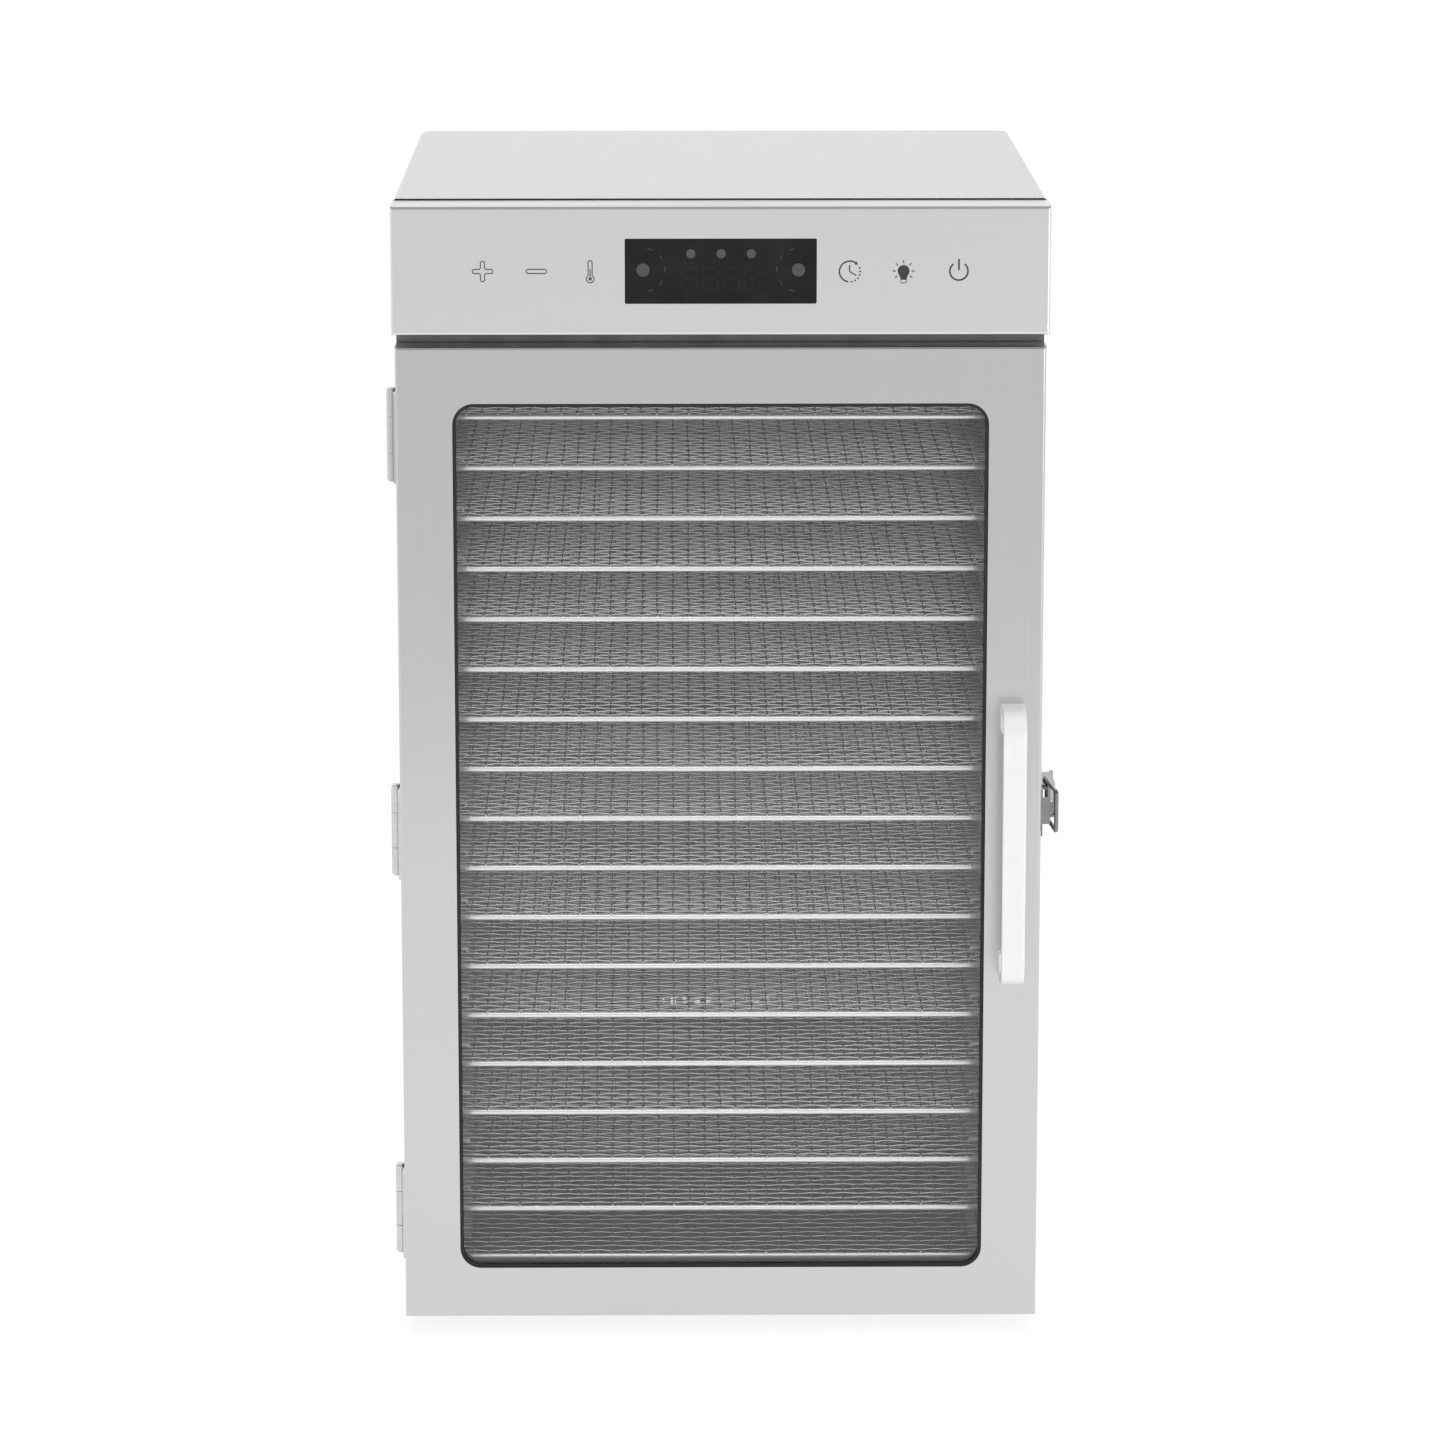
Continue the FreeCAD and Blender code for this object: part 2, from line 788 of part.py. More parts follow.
def hinge_cabinet_leaves():
    """Three leaves screwed to the cabinet's side, each with the outer knuckles."""
    holes = [screw_hole(seat, ALONG_X) for seat in hinge_screw_seats()]
    return [hinge_leaf_shape(z, 1, cabinet_leaf_width, (0, 2)).cut(holes) for z in hinge_zs]


def hinge_door_leaves():
    """Three leaves welded to the door's edge, each with the middle knuckle."""
    return [hinge_leaf_shape(z, -1, door_leaf_width, (1,)) for z in hinge_zs]


def hinge_pins():
    """Headed pins through the knuckles."""
    pins = []
    for middle in hinge_zs:
        spans = knuckle_spans(middle)
        low, high = spans[0][0], spans[-1][1]
        shank = cylinder((hinge_x, hinge_y, low), ALONG_Z, hinge_pin_radius, high - low)
        top = cylinder((hinge_x, hinge_y, high), ALONG_Z, hinge_pin_head, hinge_pin_head_height)
        bottom_start = (hinge_x, hinge_y, low - hinge_pin_head_height)
        bottom = cylinder(bottom_start, ALONG_Z, hinge_pin_head, hinge_pin_head_height)
        pins.append(union([shank, top, bottom]))
    return pins


# ---- Latch -----------------------------------------------------------------


def latch_base():
    """Plate on the cabinet's right side with two ears for the lever's pin."""
    x_span = (half_width, half_width + latch_plate)
    plate = side_panel_shape(
        about(pivot[1], latch_plate_length),
        about(latch_z, latch_plate_height),
        latch_plate_corner,
        x_span,
    )
    pieces = [plate]
    for side in (-1, 1):
        inner = side * latch_ear_gap / 2
        low, high = sorted((latch_z + inner, latch_z + inner + side * latch_ear))
        pieces.append(box((half_width, pivot[0]), about(pivot[1], 2 * latch_ear_radius), (low, high)))
        pieces.append(cylinder((*pivot, low), ALONG_Z, latch_ear_radius, high - low))
    holes = [screw_hole(seat, ALONG_X * -1) for seat in latch_screw_seats()]
    return union(pieces).cut(holes + [latch_bore(pivot, latch_pin_radius)])


def latch_bore(centre, radius):
    """Cutter for an upright running bore through the latch."""
    start = (*centre, latch_z - latch_plate_height)
    return cylinder(start, ALONG_Z, radius + running_clearance, 2 * latch_plate_height)


def latch_lever():
    """U-shaped lever, folded flat against the side when closed, with a finger tab."""
    outer_x = half_width + lever_out
    end_y = pivot[1] + lever_length
    z_span = about(latch_z, 2 * lever_half_height)
    flange_x = (pivot[0] - lever_nose + lever_side_clearance, outer_x)
    flange_y = (pivot[1], end_y - lever_nose)
    pieces = [box((outer_x - latch_plate, outer_x), (pivot[1] + lever_web_start, end_y), z_span)]
    for side in (-1, 1):
        z = latch_z + side * (lever_half_height - latch_plate / 2)
        low, high = about(z, latch_plate)
        pieces.append(box(flange_x, flange_y, (low, high)))
        pieces.append(cylinder((*pivot, low), ALONG_Z, lever_nose, high - low))
    tab = box((outer_x, outer_x + latch_plate), (end_y - 2 * latch_plate, end_y), z_span)
    pieces.append(tab)
    bores = [latch_bore(pivot, latch_pin_radius), latch_bore(bail_pivot, bail_wire_radius)]
    return union(pieces).cut(bores)


def latch_bail():
    """Bent wire loop that pulls on the strike's hook."""
    out = lever_half_height + bail_gap + bail_wire_radius
    end = lever_half_height - latch_plate
    levels = (end, out, out, -out, -out, -end)
    places = (bail_pivot, bail_pivot, bail_bar, bail_bar, bail_pivot, bail_pivot)
    points = [(x, y, latch_z + level) for (x, y), level in zip(places, levels)]
    return bent_wire(points, bail_bend, bail_wire_radius)


def latch_pin():
    """Riveted pin of the lever."""
    half = lever_half_height
    return cylinder((*pivot, latch_z - half), ALONG_Z, latch_pin_radius, 2 * half)


# ---- Control head ----------------------------------------------------------


def control_fascia():
    """Folded front of the head with the display's cut-out."""
    pan = front_pan((-half_head, half_head), (front, front + fascia_flange), (head_bottom, head_top))
    cut_out = upright_panel(
        about(0, display_width),
        about(display_z, display_height),
        display_corner,
        (front - PAST, front + PAST),
    )
    return pan.cut(cut_out)


def top_cover():
    """Lid of the head, open at the bottom and towards the fascia."""

    def lid(wall, corner, edge, front_y, low_z):
        """Block with rounded back corners and a rounded top edge."""
        x_span = (-half_head + wall, half_head - wall)
        body = box(x_span, (front_y, back - wall), (low_z, head_top - wall))
        rear = back - wall
        body = rounded(body, corner, lambda p: abs(p.y - rear) < NEAR and abs(p.x) > half_head / 2)
        top = head_top - wall
        return rounded(body, edge, lambda p: abs(p.z - top) < NEAR and p.y > front_y + NEAR)

    outer = lid(0, cover_corner_radius, bend_radius, cover_front, head_bottom)
    hollow = lid(
        sheet, cover_corner_radius - sheet, bend_radius - sheet, cover_front - PAST, head_bottom - PAST
    )
    cut_out = box(
        about(inlet_x, inlet_width), (back - PAST, back + PAST), about(inlet_z, inlet_height)
    )
    return outer.cut([hollow, cut_out])


def display_lens():
    """Dark window, flush with the fascia, with a flange behind it."""
    x_span = about(0, display_width)
    z_span = about(display_z, display_height)
    inner = front + sheet
    pane = upright_panel(
        inset(x_span, display_clearance),
        inset(z_span, display_clearance),
        display_corner - display_clearance,
        (inner - display_face, inner + display_flange_thickness),
    )
    flange = upright_panel(
        inset(x_span, -display_flange),
        inset(z_span, -display_flange),
        display_corner,
        (inner, inner + display_flange_thickness),
    )
    return union([pane, flange])


def control_board():
    """Board with the display module, its posts and the chips of the touch keys."""
    y_front = front + sheet + control_board_gap
    y_span = (y_front, y_front + board)
    pieces = [
        box(about(0, control_board_width), y_span, about(display_z, control_board_height)),
        box(
            about(0, display_module_width),
            (front + sheet + display_flange_thickness + display_module_gap, y_front),
            about(display_z, display_module_height),
        ),
    ]
    for x in inset(about(0, control_board_width), post_inset):
        for z in inset(about(display_z, control_board_height), post_inset):
            pieces.append(cylinder((x, front + sheet, z), ALONG_Y, post_radius, control_board_gap))
    rear = y_span[1]
    side, thickness = touch_chip
    for x in touch_chip_xs:
        pieces.append(box(about(x, side), (rear, rear + thickness), about(display_z, side)))
    width, height, depth = cable_socket
    pieces.append(box(about(cable_socket_x, width), (rear, rear + depth), about(display_z, height)))
    return union(pieces)


def power_board():
    """Supply board on four posts, with its transformer, relays and capacitors."""
    x_span = (power_board_left, power_board_left + power_board_length)
    y_span = (back - power_board_back - power_board_width, back - power_board_back)
    top = deck_floor + power_board_rise + board
    pieces = [box(x_span, y_span, (top - board, top))]
    for x in inset(x_span, post_inset):
        for y in inset(y_span, post_inset):
            pieces.append(cylinder((x, y, deck_floor), ALONG_Z, post_radius, power_board_rise))

    def component(part, shift=0):
        """Block on the board, moved along it by a shift."""
        (left, near), (width, depth, height) = part
        x = x_span[0] + left + shift
        y = y_span[0] + near
        return box((x, x + width), (y, y + depth), (top, top + height))

    pieces += [component(transformer), component(filter_choke)]
    (left, near), radius, height = capacitor
    for index in range(relay_count):
        shift = relay_pitch * index
        pieces.append(component(relay, shift))
        place = (x_span[0] + left + shift, y_span[0] + near, top)
        pieces.append(cylinder(place, ALONG_Z, radius, height))
    return union(pieces)


def mains_inlet():
    """Three-pin appliance inlet in the back of the head."""
    x_span = about(inlet_x, inlet_width)
    z_span = about(inlet_z, inlet_height)
    outside = back + inlet_flange_thickness
    body = box(x_span, (outside - inlet_depth, outside), z_span)
    flange = upright_panel(
        inset(x_span, -inlet_flange),
        inset(z_span, -inlet_flange),
        inlet_flange_corner,
        (back, outside),
    )
    floor = outside - inlet_socket_depth
    socket = box(inset(x_span, inlet_wall), (floor, outside + PAST), inset(z_span, inlet_wall))
    shell = union([body, flange]).cut(socket)
    width, height = inlet_pin
    pins = []
    for x, z in inlet_pin_places:
        y_span = (floor - inlet_pin_root, floor + inlet_pin_length)
        pins.append(box(about(inlet_x + x, width), y_span, about(inlet_z + z, height)))
    return union([shell] + pins)


# ---- Air, heat and light ---------------------------------------------------


def fan_motor(level):
    """Motor on the back panel with a fixed spindle."""
    z = fan_zs[level]
    spindle = impeller_plate - hub_length
    return union(
        [
            cylinder((0, panel_back - motor_flange, z), ALONG_Y, motor_flange_radius, motor_flange),
            cylinder((0, motor_front, z), ALONG_Y, motor_radius, motor_length),
            cylinder((0, spindle, z), ALONG_Y, spindle_radius, motor_front - spindle + PAST),
        ]
    )


def fan_impeller(level):
    """Back plate with radial blades, turning on the motor's spindle."""
    z = fan_zs[level]
    pieces = [
        cylinder((0, impeller_plate, z), ALONG_Y, impeller_radius, blade_thickness),
        cylinder((0, impeller_plate - hub_length + hub_rear, z), ALONG_Y, hub_radius, hub_length),
    ]
    blade = box(
        (impeller_radius - blade_length, impeller_radius),
        (impeller_plate - blade_depth, impeller_plate + blade_thickness / 2),
        about(z, blade_thickness),
    )
    for index in range(impeller_blades):
        turned = blade.copy()
        turned.rotate(Vector(0, 0, z), ALONG_Y, 360 / impeller_blades * index)
        pieces.append(turned)
    bore_start = (0, impeller_plate - hub_length - PAST, z)
    bore = cylinder(bore_start, ALONG_Y, spindle_radius + running_clearance, 2 * hub_length)
    return union(pieces).cut(bore)


def heater(level):
    """Ring element round an impeller, with two terminals to the back."""
    z = fan_zs[level]
    y = baffle_front + heater_setback
    open_half = math.radians(heater_opening / 2)
    reach = heater_radius * math.sin(open_half)
    ends = [Vector(x, y, z + heater_radius * math.cos(open_half)) for x in (-reach, reach)]
    arc = Part.Arc(ends[0], Vector(0, y, z - heater_radius), ends[1]).toShape()
    tangent = arc.tangentAt(arc.FirstParameter)
    profile = Part.Wire([Part.Circle(ends[0], tangent, heater_tube).toShape()])
    pieces = [Part.Wire([arc]).makePipeShell([profile], True, False)]
    for end in ends:
        pieces.append(Part.makeSphere(heater_tube, end))
        pieces.append(Part.makeCylinder(heater_tube, heater_terminal, end, ALONG_Y))
    return union(pieces)


def cavity_lamp():
    """Round lamp in the cavity's ceiling."""
    y = face + lamp_setback
    low = cavity_ceiling - lamp_lens_depth
    lens = cylinder((0, y, low), ALONG_Z, lamp_lens_radius, lamp_lens_depth)
    lens = rounded(lens, lamp_lens_edge, lambda p: abs(p.z - low) < NEAR)
    socket_height = sheet + lamp_socket_height
    socket_radius = lamp_socket_radius - screw_clearance
    socket = cylinder((0, y, cavity_ceiling), ALONG_Z, socket_radius, socket_height)
    return union([lens, socket])


def temp_probe():
    """Temperature probe through the baffle."""
    tube = probe_radius - screw_clearance
    length = probe_length + sheet + probe_length / 2
    stem = cylinder((probe_x, baffle_front - probe_length, fan_middle), ALONG_Y, tube, length)
    stem = rounded(stem, probe_radius / 2, lambda p: p.y < baffle_front - probe_length + NEAR)
    collar_start = (probe_x, baffle_front - probe_flange, fan_middle)
    collar = cylinder(collar_start, ALONG_Y, probe_flange_radius, probe_flange)
    return union([stem, collar])


# ---- Every node ------------------------------------------------------------

for number in range(tray_count):
    save("tray_%02d" % (number + 1), tray(number))

save("feet", feet())
save("base_pan", base_pan())
save("top_deck", top_deck())
save("side_panel_left", side_panel(-1))
save("side_panel_right", side_panel(1))
save("back_panel", back_panel())
save("face_frame", face_frame())
save("liner_left", liner(-1))
save("liner_right", liner(1))
save("runners_left", runners(-1))
save("runners_right", runners(1))
save("rear_baffle", rear_baffle())
save("case_screws", case_screws())

save("door_outer_panel", door_outer_panel())
save("door_inner_frame", door_inner_frame())
save("door_glass", door_glass())
save("glass_gasket", glass_gasket())
save("door_seal", door_seal())
save("door_handle", door_handle())
save("handle_screws", handle_screws())
save("door_strike", door_strike())

save("hinge_cabinet_leaves", hinge_cabinet_leaves())
save("hinge_door_leaves", hinge_door_leaves())
save("hinge_pins", hinge_pins())

save("latch_base", latch_base())
save("latch_lever", latch_lever())
save("latch_bail", latch_bail())
save("latch_pin", latch_pin())

save("control_fascia", control_fascia())
save("top_cover", top_cover())
save("display_lens", display_lens())
save("control_board", control_board())
save("power_board", power_board())
save("mains_inlet", mains_inlet())

for level in fan_zs:
    save("fan_motor_" + level, fan_motor(level))
    save("fan_impeller_" + level, fan_impeller(level))
    save("heater_" + level, heater(level))
save("cavity_lamp", cavity_lamp())
save("temp_probe", temp_probe())
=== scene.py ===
"""Looks of a tall cabinet food dehydrator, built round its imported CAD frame.

Lengths are in metres, in the row frame: +X to the user's right, +Y to the back, +Z up.
"""

import bisect
import logging
import math
from dataclasses import dataclass, field
from enum import Enum
from typing import Any

import bpy
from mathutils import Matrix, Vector

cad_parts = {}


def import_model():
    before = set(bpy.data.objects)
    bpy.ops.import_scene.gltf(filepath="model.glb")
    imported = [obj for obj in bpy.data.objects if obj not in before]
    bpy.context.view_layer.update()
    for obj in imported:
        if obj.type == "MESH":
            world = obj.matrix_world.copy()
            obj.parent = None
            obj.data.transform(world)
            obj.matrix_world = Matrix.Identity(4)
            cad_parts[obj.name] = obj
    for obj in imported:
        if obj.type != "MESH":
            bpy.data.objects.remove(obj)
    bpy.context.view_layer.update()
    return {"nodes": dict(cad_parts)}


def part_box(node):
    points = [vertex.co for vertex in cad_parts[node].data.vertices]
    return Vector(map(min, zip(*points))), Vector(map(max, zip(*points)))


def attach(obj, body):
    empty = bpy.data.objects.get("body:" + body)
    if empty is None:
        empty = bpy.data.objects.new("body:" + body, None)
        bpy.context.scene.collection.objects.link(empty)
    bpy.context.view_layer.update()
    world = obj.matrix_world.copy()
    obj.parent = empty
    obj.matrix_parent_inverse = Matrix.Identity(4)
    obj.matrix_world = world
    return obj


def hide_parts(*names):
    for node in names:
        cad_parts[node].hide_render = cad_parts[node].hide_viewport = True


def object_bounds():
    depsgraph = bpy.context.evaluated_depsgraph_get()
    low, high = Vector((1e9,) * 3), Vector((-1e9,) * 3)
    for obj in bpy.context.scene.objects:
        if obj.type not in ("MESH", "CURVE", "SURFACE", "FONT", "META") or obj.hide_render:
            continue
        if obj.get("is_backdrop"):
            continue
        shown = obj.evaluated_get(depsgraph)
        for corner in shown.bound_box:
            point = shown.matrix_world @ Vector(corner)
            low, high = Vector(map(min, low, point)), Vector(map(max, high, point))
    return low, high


LOG = logging.getLogger("dehydrator")
MM = 0.001
CABINET = "cabinet"


def linear(code: str) -> tuple[float, float, float, float]:
    """Turns an sRGB hex colour into a linear one.

    Args:
        code: The colour as #RRGGBB.

    Returns:
        Linear red, green and blue, and an alpha of 1.
    """
    parts = [int(code[i : i + 2], 16) / 255 for i in (1, 3, 5)]
    low = [p / 12.92 if p <= 0.04045 else ((p + 0.055) / 1.055) ** 2.4 for p in parts]
    return (low[0], low[1], low[2], 1.0)


def shaded(
    colour: tuple[float, float, float, float], factor: float, lift: float = 0.0
) -> tuple[float, float, float, float]:
    """Scales a linear colour.

    Args:
        colour: Linear red, green, blue and alpha.
        factor: What each part is multiplied by.
        lift: What each part is raised by after that.

    Returns:
        The new colour, with no part above 1.
    """
    red, green, blue = (min(1.0, part * factor + lift) for part in colour[:3])
    return (red, green, blue, 1.0)


def add_node(
    tree: bpy.types.NodeTree, kind: str, inputs: dict[Any, Any] | None = None, **settings: Any
) -> bpy.types.Node:
    """Adds a node with its settings, values and links.

    Args:
        tree: The node tree that gets the node.
        kind: The node's type name.
        inputs: Value, or output socket to link, by input name or index.
        **settings: The node's own properties.

    Returns:
        The new node.
    """
    node = tree.nodes.new(kind)
    for name, value in settings.items():
        setattr(node, name, value)
    for key, value in (inputs or {}).items():
        if isinstance(value, bpy.types.NodeSocket):
            tree.links.new(value, node.inputs[key])
        else:
            node.inputs[key].default_value = value
    return node


class Grain(Enum):
    """Direction that a sheet was brushed or rolled in, as its stretch along X, Y and Z."""

    UPRIGHT = (1.0, 1.0, 0.0)
    LEVEL = (0.0, 1.0, 1.0)
    DEEP = (1.0, 0.0, 1.0)


# ---- Finishes ---------------------------------------------------------------


@dataclass(frozen=True)
class Finish:
    """A surface, from what it is made of and how it was made."""

    name: str
    colour: str

    def material(self) -> bpy.types.Material:
        """Makes the finish's material once, and finds it again after that.

        Returns:
            The material.
        """
        made = bpy.data.materials.get(self.name)
        if made is None:
            made = bpy.data.materials.new(self.name)
            made.use_nodes = True
            tree = made.node_tree
            tree.nodes.clear()
            shader = add_node(tree, "ShaderNodeBsdfPrincipled", {"Base Color": linear(self.colour)})
            add_node(tree, "ShaderNodeOutputMaterial", {"Surface": self.paint(tree, shader)})
            made.diffuse_color = linear(self.colour)
        return made

    def paint(self, tree: bpy.types.NodeTree, shader: bpy.types.Node) -> bpy.types.NodeSocket:
        """Adds the finish's pattern.

        Args:
            tree: The material's node tree.
            shader: Its principled shader.

        Returns:
            The socket that the surface is drawn from.
        """
        return shader.outputs["BSDF"]


def join_skin(
    tree: bpy.types.NodeTree,
    shader: bpy.types.Node,
    colour: bpy.types.Node,
    pattern: bpy.types.NodeSocket,
    roughness: tuple[float, float],
    relief: bpy.types.Node,
) -> None:
    """Joins a pattern's colour, roughness and relief to the shader.

    Args:
        tree: The material's node tree.
        shader: Its principled shader.
        colour: The node that mixes the colours.
        pattern: The pattern that the roughness follows.
        roughness: Roughness where the pattern is low and where it is high.
        relief: The last bump node.
    """
    rough = add_node(
        tree,
        "ShaderNodeMapRange",
        {
            "Value": pattern,
            "From Min": 0.3,
            "From Max": 0.7,
            "To Min": roughness[0],
            "To Max": roughness[1],
        },
    )
    tree.links.new(colour.outputs[2], shader.inputs["Base Color"])
    tree.links.new(rough.outputs[0], shader.inputs["Roughness"])
    tree.links.new(relief.outputs["Normal"], shader.inputs["Normal"])


@dataclass(frozen=True)
class BrushedStainless(Finish):
    """Stainless sheet ground with a fine belt, which draws reflections out across the grain."""

    grain: Grain = Grain.UPRIGHT
    line_mm: float = 0.9
    length_mm: float = 70.0
    roughness: tuple[float, float] = (0.22, 0.27)
    turn: float = 0.0
    axis: str = "Z"
    shades: tuple[float, float] = (0.975, 1.025)
    line_share: float = 0.62
    drift_share: float = 0.38

    def paint(self, tree: bpy.types.NodeTree, shader: bpy.types.Node) -> bpy.types.NodeSocket:
        """Grinding lines in shade, roughness and relief, over the slow waves of thin sheet.

        Args:
            tree: The material's node tree.
            shader: Its principled shader.

        Returns:
            The socket that the surface is drawn from.
        """
        place = add_node(tree, "ShaderNodeTexCoord").outputs["Object"]
        across, along = 1 / (self.line_mm * MM), 1 / (self.length_mm * MM)
        scale = tuple(across if part else along for part in self.grain.value)
        drawn = add_node(tree, "ShaderNodeMapping", {"Vector": place, "Scale": scale})
        # Real belt lines are 0.05 mm wide: these are drawn as wide as the eye needs from here.
        lines = add_node(
            tree,
            "ShaderNodeTexNoise",
            {"Vector": drawn.outputs["Vector"], "Scale": 1.0, "Detail": 2.0, "Roughness": 0.55},
        ).outputs["Fac"]
        # Thin sheet is never quite flat, so its reflections drift over some 200 mm.
        drift = add_node(
            tree,
            "ShaderNodeTexNoise",
            {"Vector": place, "Scale": 5.0, "Detail": 1.0, "Roughness": 0.4},
        ).outputs["Fac"]
        blend = add_node(
            tree, "ShaderNodeMath", {0: lines, 1: self.line_share}, operation="MULTIPLY"
        ).outputs[0]
        both = add_node(
            tree,
            "ShaderNodeMath",
            {0: drift, 1: self.drift_share, 2: blend},
            operation="MULTIPLY_ADD",
        ).outputs[0]
        dark, light = (shaded(linear(self.colour), factor) for factor in self.shades)
        colour = add_node(tree, "ShaderNodeMix", {0: both, 6: dark, 7: light}, data_type="RGBA")
        waves = add_node(
            tree, "ShaderNodeBump", {"Height": drift, "Strength": 0.25, "Distance": 4.0 * MM}
        )
        relief = add_node(
            tree,
            "ShaderNodeBump",
            {
                "Height": lines,
                "Strength": 0.06,
                "Distance": 0.03 * MM,
                "Normal": waves.outputs["Normal"],
            },
        )
        join_skin(tree, shader, colour, lines, self.roughness, relief)
        shader.inputs["Metallic"].default_value = 1.0
        shader.inputs["Anisotropic"].default_value = 0.45
        shader.inputs["Anisotropic Rotation"].default_value = self.turn
        tangent = add_node(tree, "ShaderNodeTangent", direction_type="RADIAL", axis=self.axis)
        tree.links.new(tangent.outputs["Tangent"], shader.inputs["Tangent"])
        return shader.outputs["BSDF"]


@dataclass(frozen=True)
class Metal(Finish):
    """Metal with a cloudy or grainy skin: rolled, plated, polished, cast or blasted."""

    roughness: tuple[float, float] = (0.3, 0.45)
    cloud_mm: float = 14.0
    grit_mm: float = 1.2
    grit_depth_mm: float = 0.02
    stain: str | None = None
    stain_share: float = 0.25
    metallic: float = 1.0

    def paint(self, tree: bpy.types.NodeTree, shader: bpy.types.Node) -> bpy.types.NodeSocket:
        """Clouds in shade and roughness, with the grit as relief.

        Args:
            tree: The material's node tree.
            shader: Its principled shader.

        Returns:
            The socket that the surface is drawn from.
        """
        place = add_node(tree, "ShaderNodeTexCoord").outputs["Object"]
        clouds = add_node(
            tree,
            "ShaderNodeTexNoise",
            {"Vector": place, "Scale": 1 / (self.cloud_mm * MM), "Detail": 3.0, "Roughness": 0.55},
        ).outputs["Fac"]
        grit = add_node(
            tree,
            "ShaderNodeTexNoise",
            {"Vector": place, "Scale": 1 / (self.grit_mm * MM), "Detail": 2.0, "Roughness": 0.6},
        ).outputs["Fac"]
        base = linear(self.colour)
        dark = linear(self.stain) if self.stain else shaded(base, 0.86)
        share = add_node(
            tree,
            "ShaderNodeMapRange",
            {
                "Value": clouds,
                "From Min": 0.38,
                "From Max": 0.68,
                "To Min": 0.0,
                "To Max": self.stain_share * 2,
            },
        ).outputs[0]
        colour = add_node(tree, "ShaderNodeMix", {0: share, 6: base, 7: dark}, data_type="RGBA")
        relief = add_node(
            tree,
            "ShaderNodeBump",
            {"Height": grit, "Strength": 0.5, "Distance": self.grit_depth_mm * MM},
        )
        join_skin(tree, shader, colour, clouds, self.roughness, relief)
        shader.inputs["Metallic"].default_value = self.metallic
        return shader.outputs["BSDF"]


@dataclass(frozen=True)
class Moulded(Finish):
    """Plastic or rubber from a mould, whose spark-eroded skin scatters a soft shine."""

    roughness: tuple[float, float] = (0.4, 0.5)
    grit_mm: float = 0.9
    grit_depth_mm: float = 0.03
    ior: float = 1.5
    sheen_level: float = 0.5

    def paint(self, tree: bpy.types.NodeTree, shader: bpy.types.Node) -> bpy.types.NodeSocket:
        """A fine pebble in relief, with slow changes of shade where hands and dust have been.

        Args:
            tree: The material's node tree.
            shader: Its principled shader.

        Returns:
            The socket that the surface is drawn from.
        """
        place = add_node(tree, "ShaderNodeTexCoord").outputs["Object"]
        pebble = add_node(
            tree,
            "ShaderNodeTexVoronoi",
            {"Vector": place, "Scale": 1 / (self.grit_mm * MM)},
            feature="SMOOTH_F1",
        ).outputs["Distance"]
        dust = add_node(
            tree,
            "ShaderNodeTexNoise",
            {"Vector": place, "Scale": 60.0, "Detail": 4.0, "Roughness": 0.6},
        ).outputs["Fac"]
        base = linear(self.colour)
        colour = add_node(
            tree,
            "ShaderNodeMix",
            {0: dust, 6: base, 7: shaded(base, 0.8, lift=0.02)},
            data_type="RGBA",
        )
        relief = add_node(
            tree,
            "ShaderNodeBump",
            {"Height": pebble, "Strength": 0.4, "Distance": self.grit_depth_mm * MM},
        )
        join_skin(tree, shader, colour, dust, self.roughness, relief)
        shader.inputs["IOR"].default_value = self.ior
        shader.inputs["Specular IOR Level"].default_value = self.sheen_level
        return shader.outputs["BSDF"]


@dataclass(frozen=True)
class FloatGlass(Finish):
    """Clear float glass, which mirrors the room faintly and lets light through to the trays."""

    ior: float = 1.5
    haze: float = 0.0

    def paint(self, tree: bpy.types.NodeTree, shader: bpy.types.Node) -> bpy.types.NodeSocket:
        """Glass to the eye and clear to shadow rays, with the faintest roller wave.

        Args:
            tree: The material's node tree.
            shader: Its principled shader.

        Returns:
            The socket that the surface is drawn from.
        """
        place = add_node(tree, "ShaderNodeTexCoord").outputs["Object"]
        wave = add_node(
            tree, "ShaderNodeTexNoise", {"Vector": place, "Scale": 9.0, "Detail": 1.0}
        ).outputs["Fac"]
        bend = add_node(
            tree, "ShaderNodeBump", {"Height": wave, "Strength": 0.03, "Distance": 1.0 * MM}
        )
        tree.links.new(bend.outputs["Normal"], shader.inputs["Normal"])
        shader.inputs["Transmission Weight"].default_value = 1.0
        shader.inputs["Roughness"].default_value = self.haze
        shader.inputs["IOR"].default_value = self.ior
        clear = add_node(tree, "ShaderNodeBsdfTransparent", {"Color": linear("#F4F6F5")})
        ray = add_node(tree, "ShaderNodeLightPath")
        mixed = add_node(
            tree,
            "ShaderNodeMixShader",
            {0: ray.outputs["Is Shadow Ray"], 1: shader.outputs["BSDF"], 2: clear.outputs["BSDF"]},
        )
        return mixed.outputs["Shader"]


